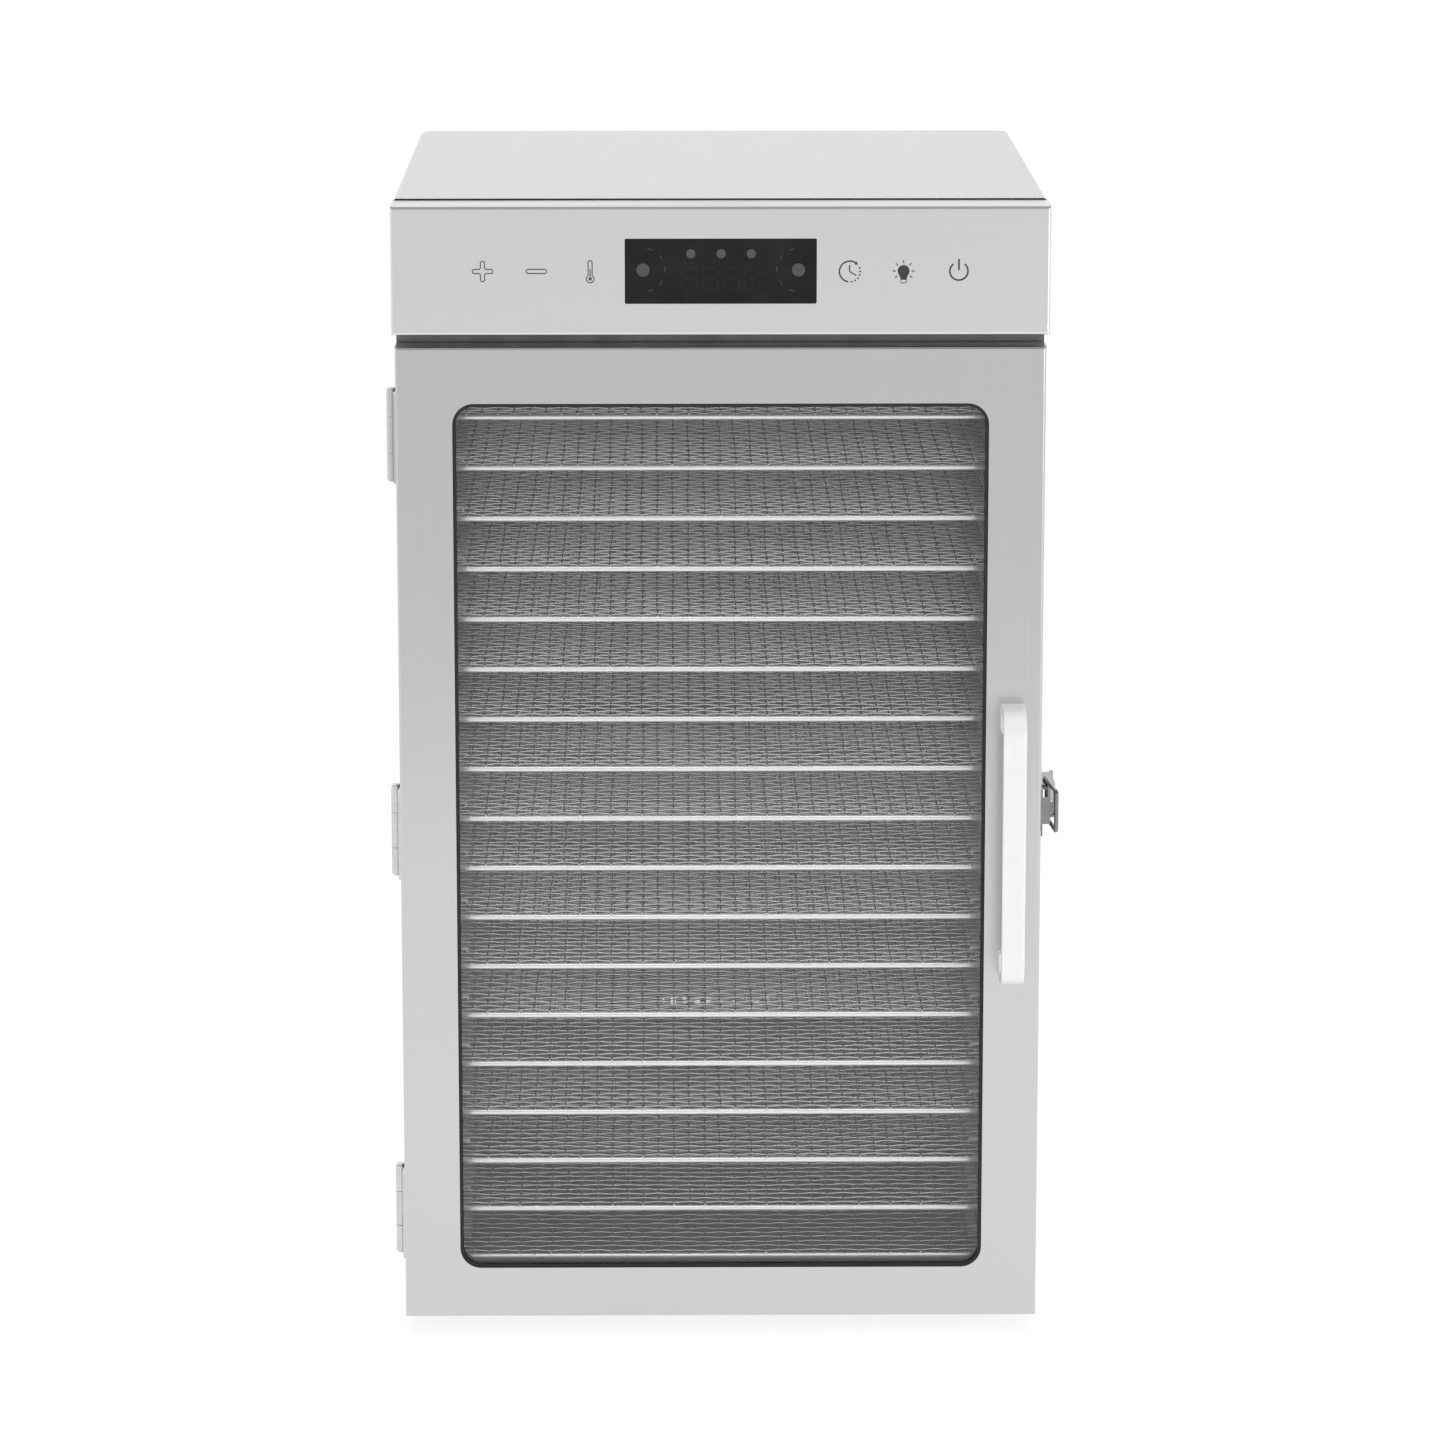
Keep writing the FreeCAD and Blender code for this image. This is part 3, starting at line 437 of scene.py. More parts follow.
@dataclass(frozen=True)
class CircuitBoard(Finish):
    """Glass-epoxy board under green solder mask, with its copper tracks and tinned pads."""

    second_green: str = "#1D5E38"
    track: str = "#3E8A55"
    pad: str = "#B9BDB8"
    cell_mm: float = 2.54
    cells_per_track: int = 4
    pad_share: float = 0.18

    def paint(self, tree: bpy.types.NodeTree, shader: bpy.types.Node) -> bpy.types.NodeSocket:
        """Tracks as bricks and pads as dots, both on the 2.54 mm grid of such boards.

        Args:
            tree: The material's node tree.
            shader: Its principled shader.

        Returns:
            The socket that the surface is drawn from.
        """
        place = add_node(tree, "ShaderNodeTexCoord").outputs["Object"]
        turned = add_node(
            tree, "ShaderNodeMapping", {"Vector": place, "Rotation": (math.pi / 2, 0.0, 0.0)}
        ).outputs["Vector"]
        tracks = add_node(
            tree,
            "ShaderNodeTexBrick",
            {
                "Vector": turned,
                "Color1": linear(self.colour),
                "Color2": linear(self.second_green),
                "Mortar": linear(self.track),
                "Scale": 1 / (self.cell_mm * self.cells_per_track * MM),
                "Mortar Size": 0.03,
            },
        ).outputs["Color"]
        dots = add_node(
            tree,
            "ShaderNodeTexVoronoi",
            {"Vector": turned, "Scale": 1 / (self.cell_mm * MM), "Randomness": 0.0},
        ).outputs["Distance"]
        pads = add_node(
            tree, "ShaderNodeMath", {0: dots, 1: self.pad_share}, operation="LESS_THAN"
        ).outputs[0]
        colour = add_node(
            tree, "ShaderNodeMix", {0: pads, 6: tracks, 7: linear(self.pad)}, data_type="RGBA"
        )
        tree.links.new(colour.outputs[2], shader.inputs["Base Color"])
        shader.inputs["Roughness"].default_value = 0.35
        return shader.outputs["BSDF"]


@dataclass(frozen=True)
class PaperFloor(Finish):
    """Translucent white sheet of a light table, lit from below, under and behind the object."""

    glow: float = 0.86

    def paint(self, tree: bpy.types.NodeTree, shader: bpy.types.Node) -> bpy.types.NodeSocket:
        """Near-even white with the sheet's own faint clouds.

        Args:
            tree: The material's node tree.
            shader: Its principled shader.

        Returns:
            The socket that the surface is drawn from.
        """
        place = add_node(tree, "ShaderNodeTexCoord").outputs["Object"]
        clouds = add_node(
            tree, "ShaderNodeTexNoise", {"Vector": place, "Scale": 1.5, "Detail": 2.0}
        ).outputs["Fac"]
        base = linear(self.colour)
        colour = add_node(
            tree,
            "ShaderNodeMix",
            {0: clouds, 6: base, 7: shaded(base, 0.985)},
            data_type="RGBA",
        )
        tree.links.new(colour.outputs[2], shader.inputs["Base Color"])
        shader.inputs["Roughness"].default_value = 0.9
        shader.inputs["Specular IOR Level"].default_value = 0.1
        shader.inputs["Emission Color"].default_value = linear("#FFFFFF")
        shader.inputs["Emission Strength"].default_value = self.glow
        return shader.outputs["BSDF"]


# These four are one stainless sheet. Their different shades are painted light: the head and lid are
# painted lightest, the sides lighter than the door, for how brightly each face is lit.
DOOR_STEEL = BrushedStainless("brushed_stainless_door", "#CCCDCC", Grain.UPRIGHT)
HEAD_STEEL = BrushedStainless(
    "brushed_stainless_head", "#E0E1E0", Grain.LEVEL, roughness=(0.28, 0.33), turn=0.25
)
COVER_STEEL = BrushedStainless(
    "brushed_stainless_cover", "#E6E7E6", Grain.DEEP, roughness=(0.3, 0.35), axis="X"
)
SIDE_STEEL = BrushedStainless("brushed_stainless_side", "#D6D7D6", Grain.UPRIGHT)
# Cold-rolled sheet has a smooth, slightly milky skin with faint clouds from the rolls.
ROLLED_STEEL = Metal("rolled_steel", "#A4A5A4", (0.28, 0.42), 22.0, 1.6, 0.015)
# The same sheet, painted darker where it sits out of reach, set back in the gaps and under the
# head: painted shade.
SHADE_DARKENED_STEEL = Metal("rolled_steel_painted_shade", "#7E7F7E", (0.34, 0.5), 22.0, 1.6, 0.02)
# Electropolishing rounds the wire's skin and leaves it bright but not mirror-like.
POLISHED_ROD = Metal(
    "electropolished_rod", "#FAFAF8", (0.16, 0.22), 9.0, 1.0, 0.003, stain_share=0.05, metallic=0.6
)
# The weft is painted lighter than the warp: a painted highlight on the side-to-side wires, which
# face the front light.
WEFT_WIRE_PAINTED_LIGHT = Metal(
    "electropolished_weft_painted_light", "#E2E2E0", (0.14, 0.22), 5.0, 1.0, 0.006, stain_share=0.1, metallic=0.7
)
# The warp is the same wire as the weft, painted darker: painted shade on the front-to-back wires,
# which face away from the front light.
WARP_WIRE_PAINTED_SHADE = Metal("electropolished_warp_painted_shade", "#828281", (0.24, 0.34), 5.0, 1.0, 0.006)
# Bright-annealed strip is finished between polished rolls.
BRIGHT_STRIP = Metal(
    "bright_rolled_strip", "#F4F4F2", (0.18, 0.26), 22.0, 1.6, 0.008, stain_share=0.1, metallic=0.55
)
# Thicker strip pressed to shape, painted darker than it is: a painted dark reflection for the dark
# surroundings that a bright latch mirrors.
DARK_REFLECTION_LATCH_STEEL = Metal("pressed_latch_steel_painted_reflection", "#8C8D8E", (0.12, 0.22), 6.0, 1.5, 0.02)
# Nickel plate over pressed steel: bright, with the pressing's slight orange peel.
NICKEL_PLATE = Metal("nickel_plate", "#CFCFCD", (0.1, 0.2), 6.0, 1.5, 0.02)
# Bead-blasted and anodised aluminium scatters light almost like white paint.
ANODISED = Metal(
    "satin_anodised_aluminium",
    "#F6F6F5",
    (0.48, 0.56),
    9.0,
    0.6,
    0.012,
    stain_share=0.1,
    metallic=0.35,
)
# Die-cast and tumbled, so it is matt with a coarse grain.
CAST_ALUMINIUM = Metal("cast_aluminium", "#A9AAAA", (0.45, 0.6), 12.0, 1.4, 0.12)
PRESSED_ALUMINIUM = Metal("pressed_aluminium", "#C9CACA", (0.3, 0.42), 16.0, 2.0, 0.02)
# A heater's nickel-alloy sheath oxidises to straw and blue-brown patches.
HEATED_SHEATH = Metal(
    "oxidised_heater_sheath", "#8C7F73", (0.4, 0.6), 18.0, 1.0, 0.03, "#4C4350", 0.5
)
# Rubber is dark and matt, with the faint bloom of its wax.
BLACK_RUBBER = Moulded("moulded_black_rubber", "#1B1B1C", (0.55, 0.7), 0.8, 0.02, 1.52, 0.35)
# Closed-cell foam is matt, with the fine open skin of the cut.
# Matt black with a fine pebbled skin: a painted shadow for the strip in the seam between the head
# and its lid.
SEAM_SHADOW_BLACK = Moulded("seam_painted_shadow", "#262627", (0.8, 0.9), 0.6, 0.05, 1.45, 0.2)
GREY_SILICONE = Moulded("extruded_grey_silicone", "#8C8D8D", (0.5, 0.6), 1.2, 0.01, 1.41)
BLACK_ABS = Moulded("moulded_black_abs", "#1E1E1F", (0.42, 0.52), 0.7, 0.03, 1.53)
# Cast acrylic is smooth enough to mirror the room, though faintly.
BLACK_LENS = Moulded("gloss_black_acrylic", "#161617", (0.08, 0.12), 6.0, 0.002, 1.49, 0.12)
GREEN_BOARD = CircuitBoard("solder_mask_board", "#1F6B40")
CLEAR_GLASS = FloatGlass("clear_float_glass", "#FFFFFF")
FROSTED_GLASS = FloatGlass("frosted_lamp_glass", "#F6F5F0", haze=0.45)
# Screen ink dries matt, and the unlit parts of the display only just part from its black.
DARK_INK = Moulded("screen_print_dark", "#2C2D2E", (0.5, 0.6), 0.5, 0.002)
PALE_INK = Moulded("screen_print_grey", "#484949", (0.5, 0.6), 0.5, 0.002)
LAMP_DOT = Moulded("unlit_indicator", "#565657", (0.3, 0.4), 0.5, 0.002, 1.49, 0.12)
TICK_INK = Moulded("unlit_tick", "#3A3A3B", (0.3, 0.4), 0.5, 0.002, 1.49, 0.12)
GHOST_DIGIT = Moulded("unlit_digit", "#1D1D1E", (0.1, 0.14), 0.5, 0.002, 1.49, 0.12)
PAPER = PaperFloor("light_table_sheet", "#7C7C7C")

FINISH_OF = {
    "door_outer_panel": DOOR_STEEL,
    "control_fascia": HEAD_STEEL,
    "top_cover": COVER_STEEL,
    "side_panel_left": SIDE_STEEL,
    "side_panel_right": SIDE_STEEL,
    "face_frame": SHADE_DARKENED_STEEL,
    "back_panel": ROLLED_STEEL,
    "base_pan": SHADE_DARKENED_STEEL,
    "top_deck": SHADE_DARKENED_STEEL,
    "liner_left": ROLLED_STEEL,
    "liner_right": ROLLED_STEEL,
    "runners_left": BRIGHT_STRIP,
    "runners_right": BRIGHT_STRIP,
    "rear_baffle": ROLLED_STEEL,
    "door_inner_frame": SHADE_DARKENED_STEEL,
    "latch_base": DARK_REFLECTION_LATCH_STEEL,
    "latch_lever": DARK_REFLECTION_LATCH_STEEL,
    "latch_bail": DARK_REFLECTION_LATCH_STEEL,
    "latch_pin": DARK_REFLECTION_LATCH_STEEL,
    "door_strike": DARK_REFLECTION_LATCH_STEEL,
    "hinge_cabinet_leaves": NICKEL_PLATE,
    "hinge_door_leaves": NICKEL_PLATE,
    "hinge_pins": NICKEL_PLATE,
    "case_screws": NICKEL_PLATE,
    "handle_screws": NICKEL_PLATE,
    "temp_probe": NICKEL_PLATE,
    "door_handle": ANODISED,
    "door_glass": CLEAR_GLASS,
    "glass_gasket": BLACK_RUBBER,
    "feet": BLACK_RUBBER,
    "door_seal": GREY_SILICONE,
    "display_lens": BLACK_LENS,
    "control_board": GREEN_BOARD,
    "power_board": GREEN_BOARD,
    "mains_inlet": BLACK_ABS,
    "fan_motor_lower": CAST_ALUMINIUM,
    "fan_motor_upper": CAST_ALUMINIUM,
    "fan_impeller_lower": PRESSED_ALUMINIUM,
    "fan_impeller_upper": PRESSED_ALUMINIUM,
    "heater_lower": HEATED_SHEATH,
    "heater_upper": HEATED_SHEATH,
    "cavity_lamp": FROSTED_GLASS,
}


# ---- Mesh making -------------------------------------------------------------


@dataclass
class MeshMaker:
    """Gathers the corners and faces of one mesh."""

    corners: list[tuple[float, float, float]] = field(default_factory=list)
    faces: list[tuple[int, ...]] = field(default_factory=list)

    def tube(self, path: list[Vector], radius: float, sides: int, closed: bool = False) -> None:
        """Adds a round wire whose path is never upright.

        Args:
            path: Points along the wire's middle.
            radius: The wire's radius.
            sides: Corners round the wire.
            closed: True where the path runs back into its start.
        """
        count = len(path)
        start = len(self.corners)
        up = Vector((0, 0, 1))
        for i, point in enumerate(path):
            after = path[(i + 1) % count] if closed or i + 1 < count else point
            before = path[i - 1] if closed or i > 0 else point
            side = (after - before).cross(up).normalized()
            top = side.cross(after - before).normalized()
            for k in range(sides):
                turn = 2 * math.pi * k / sides
                corner = point + radius * (math.cos(turn) * side + math.sin(turn) * top)
                self.corners.append(corner[:])
        rings = count if closed else count - 1
        for i in range(rings):
            low, high = start + i * sides, start + (i + 1) % count * sides
            for k in range(sides):
                step = (k + 1) % sides
                self.faces.append((low + k, low + step, high + step, high + k))
        if not closed:
            end = start + (count - 1) * sides
            self.faces.append(tuple(range(start, start + sides))[::-1])
            self.faces.append(tuple(range(end, end + sides)))

    def ribbon(
        self,
        path: list[tuple[float, float]],
        width: float,
        y_span: tuple[float, float],
        closed: bool = False,
    ) -> None:
        """Adds a flat printed line of even width that faces the front.

        Args:
            path: Points (x, z) along the line's middle.
            width: The line's width.
            y_span: Its front and back.
            closed: True where the line runs back into its start.
        """
        count = len(path)
        start = len(self.corners)
        for i, (x, z) in enumerate(path):
            after = path[(i + 1) % count] if closed or i + 1 < count else path[i]
            before = path[i - 1] if closed or i > 0 else path[i]
            dx, dz = after[0] - before[0], after[1] - before[1]
            length = math.hypot(dx, dz) or 1.0
            ox, oz = -dz / length * width / 2, dx / length * width / 2
            for y in y_span:
                self.corners.append((x + ox, y, z + oz))
                self.corners.append((x - ox, y, z - oz))
        steps = count if closed else count - 1
        for i in range(steps):
            a, b = start + 4 * i, start + 4 * ((i + 1) % count)
            self.faces += [(a, b, b + 1, a + 1), (a + 2, a + 3, b + 3, b + 2)]
            self.faces += [(a, a + 2, b + 2, b), (a + 1, b + 1, b + 3, a + 3)]
        if not closed:
            b = start + 4 * (count - 1)
            self.faces += [(start, start + 1, start + 3, start + 2), (b, b + 2, b + 3, b + 1)]

    def plate(self, outline: list[tuple[float, float]], y_span: tuple[float, float]) -> None:
        """Adds a flat shape that faces the front.

        Args:
            outline: Its corners (x, z), counter-clockwise.
            y_span: Its front and back.
        """
        start, count = len(self.corners), len(outline)
        for y in y_span:
            self.corners += [(x, y, z) for x, z in outline]
        self.faces.append(tuple(range(start, start + count)))
        self.faces.append(tuple(range(start + count, start + 2 * count))[::-1])
        for k in range(count):
            step = (k + 1) % count
            self.faces.append((start + k, start + count + k, start + count + step, start + step))

    def mesh(self, name: str, smooth: bool) -> bpy.types.Mesh:
        """Makes the gathered mesh.

        Args:
            name: The mesh's name.
            smooth: True for round wire, False for flat prints.

        Returns:
            The mesh.
        """
        made = bpy.data.meshes.new(name)
        made.from_pydata(self.corners, [], self.faces)
        made.validate()
        if smooth:
            made.shade_smooth()
        return made


def arc(
    middle: tuple[float, float], radius: float, start: float, end: float, steps: int
) -> list[tuple[float, float]]:
    """Points along an arc in the X-Z plane.

    Args:
        middle: The arc's centre (x, z).
        radius: Its radius.
        start: Angle of its first point, in degrees.
        end: Angle of its last point, in degrees.
        steps: How many pieces it is cut into.

    Returns:
        The points (x, z).
    """
    angles = [math.radians(start + (end - start) * i / steps) for i in range(steps + 1)]
    return [(middle[0] + radius * math.cos(a), middle[1] + radius * math.sin(a)) for a in angles]


def add_piece(
    mesh: bpy.types.Mesh,
    name: str,
    finish: Finish,
    body: str,
    place: Vector | None = None,
) -> bpy.types.Object:
    """Puts a mesh in the scene as a piece that rides on a body.

    Args:
        mesh: The piece's mesh.
        name: The piece's name.
        finish: Its finish.
        body: The CAD body it moves with.
        place: Where its origin is, if not at the row's own.

    Returns:
        The piece.
    """
    piece = bpy.data.objects.new(name, mesh)
    bpy.context.scene.collection.objects.link(piece)
    if place is not None:
        piece.location = place
    if not mesh.materials:
        mesh.materials.append(finish.material())
    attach(piece, body)
    LOG.info("%s rides on %s: %d faces", name, body, len(mesh.polygons))
    return piece


# ---- Sub-assemblies ----------------------------------------------------------


@dataclass
class TrayStack:
    """Eighteen trays: a round rim rod, with a plain-woven mesh of crimped wire welded on it.

    The shares are of the rod's radius, of the wander and of the weld's half length.
    """

    count: int = 18
    rod: float = 2.0 * MM
    corner: float = 14.0 * MM
    wire: float = 0.54 * MM
    pitch: float = 10.5 * MM
    weft_crimp: float = 0.38 * MM
    warp_crimp: float = 0.7 * MM
    rise: float = 1.9 * MM
    sag: float = 0.9 * MM
    ripple: float = 0.35 * MM
    wander: float = 0.45 * MM
    weld: float = 1.1 * MM
    overlap_share: float = 0.7
    end_share: float = 0.3
    weld_share: float = 0.75
    wire_sides: int = 5
    weld_sides: int = 8
    rod_sides: int = 14
    corner_steps: int = 8
    kinds: int = 3
    steps: int = 4

    def half_span(self, across: float, half: float, half_across: float) -> float:
        """Half length of a wire between the rods, shorter where the rim's corners round off.

        Args:
            across: The wire's distance from the tray's middle line.
            half: Half the rim's length along the wire, to the rod's middle.
            half_across: Half the rim's width across the wire.

        Returns:
            Half the wire's length.
        """
        past = abs(across) - (half_across - self.corner)
        if past <= 0:
            return half
        return half - self.corner + math.sqrt(max(0.0, self.corner**2 - past**2))

    def finish_faces(self, mesh: bpy.types.Mesh, ends: list[int]) -> None:
        """Gives the rod, the weft and the warp their own finishes.

        Args:
            mesh: The tray's mesh, whose faces lie in that order.
            ends: Where the rod's faces and the weft's faces end.
        """
        # Weft and warp are one wire: the weft's finish is a painted highlight and the warp's is
        # painted shade.
        for finish in (POLISHED_ROD, WEFT_WIRE_PAINTED_LIGHT, WARP_WIRE_PAINTED_SHADE):
            mesh.materials.append(finish.material())
        mesh.polygons.foreach_set(
            "material_index", [bisect.bisect_right(ends, i) for i in range(len(mesh.polygons))]
        )

    def rim(self, maker: MeshMaker, half_x: float, half_y: float, middle_y: float) -> None:
        """Adds the rim rod.

        Args:
            maker: The mesh that gets it.
            half_x: Half its width, to the rod's middle.
            half_y: Half its depth, to the rod's middle.
            middle_y: The tray's middle along Y.
        """
        path = []
        for sx, sy, first in ((1, 1, 0), (-1, 1, 90), (-1, -1, 180), (1, -1, 270)):
            centre = (sx * (half_x - self.corner), middle_y + sy * (half_y - self.corner))
            bend = arc(centre, self.corner, first, first + 90, self.corner_steps)
            path += [Vector((x, y, 0)) for x, y in bend]
        maker.tube(path, self.rod, self.rod_sides, closed=True)

    def height(self, x: float, y: float, half_x: float, half_y: float, kind: int) -> float:
        """Height of the mesh's middle plane, which sags a little and isn't quite flat.

        Args:
            x: Distance from the tray's middle along its width.
            y: Distance from its middle along its depth.
            half_x: Half its width, to the rod's middle.
            half_y: Half its depth, to the rod's middle.
            kind: Which of the differing trays this is.

        Returns:
            The height over the rod's middle.
        """
        drop = self.sag * (1 - (x / half_x) ** 2) * (1 - (y / half_y) ** 2)
        wave = math.sin(x * (31 + 5 * kind) + kind) * math.sin(y * (23 + 7 * kind) + 2 * kind)
        return self.rise - drop + self.ripple * wave * (1 - abs(y / half_y) ** 6)

    def shift(self, row: int, kind: int) -> float:
        """How far a wire's ends lie from their even place."""
        return self.end_share * self.wander * math.sin(row * 5.1 + kind)

    def rows(self, half_across: float) -> range:
        """Numbers of the wires that lie side by side, from the tray's middle line."""
        most = int((half_across - self.rod) // self.pitch)
        return range(-most, most + 1)

    def wires(
        self, maker: MeshMaker, halves: tuple[float, float], middle_y: float, kind: int, level: int
    ) -> None:
        """Adds the crimped wires of one direction, each over and under the other's in turn.

        Args:
            maker: The mesh that gets them.
            halves: Half the rim's width and half its depth, to the rod's middle.
            middle_y: The tray's middle along Y.
            kind: Which of the differing trays this is.
            level: 0 for the weft, across the width, and 1 for the warp, along the depth.
        """
        half, half_across = halves[level], halves[1 - level]
        crimp = (self.weft_crimp, self.warp_crimp)[level]
        for row in self.rows(half_across):
            across = row * self.pitch
            reach = self.half_span(across, half, half_across) + self.rod * self.overlap_share
            stations = int(reach / self.pitch * self.steps)
            places = [s * self.pitch / self.steps for s in range(-stations, stations + 1)]
            path = []
            for along in [-reach] + places + [reach]:
                bend = crimp * (-1) ** (row + level) * math.cos(math.pi * along / self.pitch)
                free = 1 - abs(along / reach) ** 8
                drift = self.wander * math.sin(along * 19 + row * 2.4 + 3 * kind) * free
                drift += self.shift(row, kind)
                x, y = (along, across + drift) if level == 0 else (across + drift, along)
                z = self.height(x, y, *halves, kind) + bend
                path.append(Vector((x, y + middle_y, z)))
            maker.tube(path, self.wire, self.wire_sides)

    def welds(
        self, maker: MeshMaker, halves: tuple[float, float], middle_y: float, kind: int
    ) -> None:
        """Adds the weld bead where each warp wire ends on the front and the back rod.

        Args:
            maker: The mesh that gets them.
            halves: Half the rim's width and half its depth, to the rod's middle.
            middle_y: The tray's middle along Y.
            kind: Which of the differing trays this is.
        """
        for row in self.rows(halves[0]):
            x = row * self.pitch + self.shift(row, kind)
            for end in (-1, 1):
                y = middle_y + end * self.half_span(row * self.pitch, halves[1], halves[0])
                ends = [Vector((x, y + side * self.weld, self.rise)) for side in (-1, 1)]
                maker.tube(ends, self.weld * self.weld_share, self.weld_sides)

    def build(self) -> None:
        """Makes the differing trays once and lays one at each tray's height."""
        meshes = []
        low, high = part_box("tray_01")
        halves = ((high.x - low.x) / 2 - self.rod, (high.y - low.y) / 2 - self.rod)
        middle_y = (low.y + high.y) / 2
        for kind in range(self.kinds):
            maker = MeshMaker()
            self.rim(maker, *halves, middle_y)
            rod_end = len(maker.faces)
            self.wires(maker, halves, middle_y, kind, 0)
            self.welds(maker, halves, middle_y, kind)
            weft_end = len(maker.faces)
            self.wires(maker, halves, middle_y, kind, 1)
            mesh = maker.mesh(f"woven_tray_{kind}", smooth=True)
            self.finish_faces(mesh, [rod_end, weft_end])
            meshes.append(mesh)
        for number in range(1, self.count + 1):
            node = f"tray_{number:02d}"
            low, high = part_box(node)
            place = Vector((0, 0, low.z + self.rod))
            mesh = meshes[number * 2 % self.kinds]
            piece = add_piece(mesh, f"woven_{node}", WEFT_WIRE_PAINTED_LIGHT, node, place)
            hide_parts(node)


@dataclass
class FrontPrint:
    """Base of the flat marks that lie on the front of the head."""

    node: str = "control_fascia"
    thickness: float = 0.12 * MM
    sunk: float = 0.02 * MM

    def y_span(self) -> tuple[float, float]:
        """Front and back of the marks, on the front face of their node."""
        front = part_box(self.node)[0].y
        return (front - self.thickness, front + self.sunk)

    def centre_z(self) -> float:
        """Height of the display's middle."""
        low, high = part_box("display_lens")
        return (low.z + high.z) / 2


@dataclass
class TouchKeys(FrontPrint):
    """Six touch keys, screen-printed: plus, minus, temperature, time, light and power."""

    plus_x: float = -155.0 * MM
    minus_x: float = -120.0 * MM
    heat_x: float = -85.0 * MM
    clock_x: float = 84.0 * MM
    light_x: float = 119.0 * MM
    power_x: float = 155.0 * MM
    line: float = 1.0 * MM
    thin: float = 0.72 * MM
    rounding: float = 0.8 * MM
    arm: float = 6.6 * MM
    bar: float = 1.35 * MM
    tube_radius: float = 1.3 * MM
    tube_top: float = 7.0 * MM
    reservoir: float = 2.5 * MM
    reservoir_drop: float = 5.0 * MM
    mercury: float = 1.1 * MM
    column: tuple[float, float] = (-4.4 * MM, 1.6 * MM)
    dial: float = 6.8 * MM
    dial_drop: float = 0.3 * MM
    dial_dot: float = 0.62 * MM
    dial_angles: tuple[int, ...] = (281, 301, 321, 340, 0, 20)
    arrow: float = 1.3 * MM
    hand: float = 4.4 * MM
    hand_drop: float = 2.5 * MM
    hand_line: float = 0.8 * MM
    hub_x: float = -0.2 * MM
    glass: float = 3.9 * MM
    glass_foot: tuple[float, float] = (1.9 * MM, -5.2 * MM)
    ray_angles: tuple[int, ...] = (90, 45, 135, 0, 180, -38, -142)
    ray_ends: tuple[float, float] = (5.1 * MM, 7.2 * MM)
    ray_line: float = 0.75 * MM
    cap_line: float = 0.6 * MM
    ring: float = 5.9 * MM
    ring_drop: float = 0.1 * MM
    ring_line: float = 1.1 * MM
    ring_bar: tuple[float, float] = (0.6 * MM, 7.9 * MM)

    def signs(self) -> MeshMaker:
        """Draws the outlined plus and minus signs and the outlined thermometer.

        Returns:
            The mesh they are in.
        """
        maker, span, z = MeshMaker(), self.y_span(), self.centre_z()
        a, b = self.arm, self.bar
        cross = [(b, b), (b, a), (-b, a), (-b, b), (-a, b), (-a, -b)]
        cross += [(-b, -b), (-b, -a), (b, -a), (b, -b), (a, -b), (a, b)]
        dash = [(a, b), (-a, b), (-a, -b), (a, -b)]
        for middle, outline in ((self.plus_x, cross), (self.minus_x, dash)):
            path = self.edged([(middle + x, z + dz) for x, dz in outline])
            maker.ribbon(path, self.thin, span, True)
        x, low = self.heat_x, z - self.reservoir_drop
        lean = math.degrees(math.acos(self.tube_radius / self.reservoir))
        foot = arc((x, low), self.reservoir, lean, -180 - lean, 18)
        crown = arc((x, z + self.tube_top - self.tube_radius), self.tube_radius, 180, 0, 8)
        maker.ribbon(foot + crown, self.thin, span, True)
        maker.ribbon([(x, z + end) for end in self.column], self.thin, span)
        maker.plate(arc((x, low), self.mercury, 0, 340, 17), span)
        return maker

    def edged(self, corners: list[tuple[float, float]]) -> list[tuple[float, float]]:
        """Takes the points off an outline.

        Args:
            corners: The outline's corners (x, z).

        Returns:
            The outline with two points in place of each corner.
        """
        path = []
        for i, (x, z) in enumerate(corners):
            for other in (corners[i - 1], corners[(i + 1) % len(corners)]):
                length = math.hypot(other[0] - x, other[1] - z)
                share = min(0.45, self.rounding / length)
                path.append((x + (other[0] - x) * share, z + (other[1] - z) * share))
        return path

    def clock(self, maker: MeshMaker) -> None:
        """Adds the time key: an arrow round most of a dial, dots for the rest, and two hands.

        Args:
            maker: The mesh that gets it.
        """
        x, z, span = self.clock_x, self.centre_z() - self.dial_drop, self.y_span()
        maker.ribbon(arc((x, z), self.dial, 58, 262, 40), self.line, span)
        for angle in self.dial_angles:
            dot = arc((x, z), self.dial, angle, angle, 1)[0]
            maker.plate(arc(dot, self.dial_dot, 0, 324, 9), span)
        tip = arc((x, z), self.dial, 40, 40, 1)[0]
        wings = [arc((x, z), self.dial + self.arrow * s, 58, 58, 1)[0] for s in (1, -1)]
        maker.plate([tip, wings[0], wings[1]], span)
        hub = (x + self.hub_x, z)
        maker.ribbon([(hub[0], z + self.hand), hub], self.hand_line, span)
        maker.ribbon([hub, (hub[0] + self.hand, z - self.hand_drop)], self.hand_line, span)

    def bulb(self, maker: MeshMaker) -> None:
        """Adds the filled glass of the light key's bulb.

        Args:
            maker: The mesh that gets it.
        """
        x, z = self.light_x, self.centre_z()
        round_part = arc((x, z), self.glass, -42, 222, 22)
        wide, drop = self.glass_foot
        maker.plate(round_part + [(x - wide, z + drop), (x + wide, z + drop)], self.y_span())

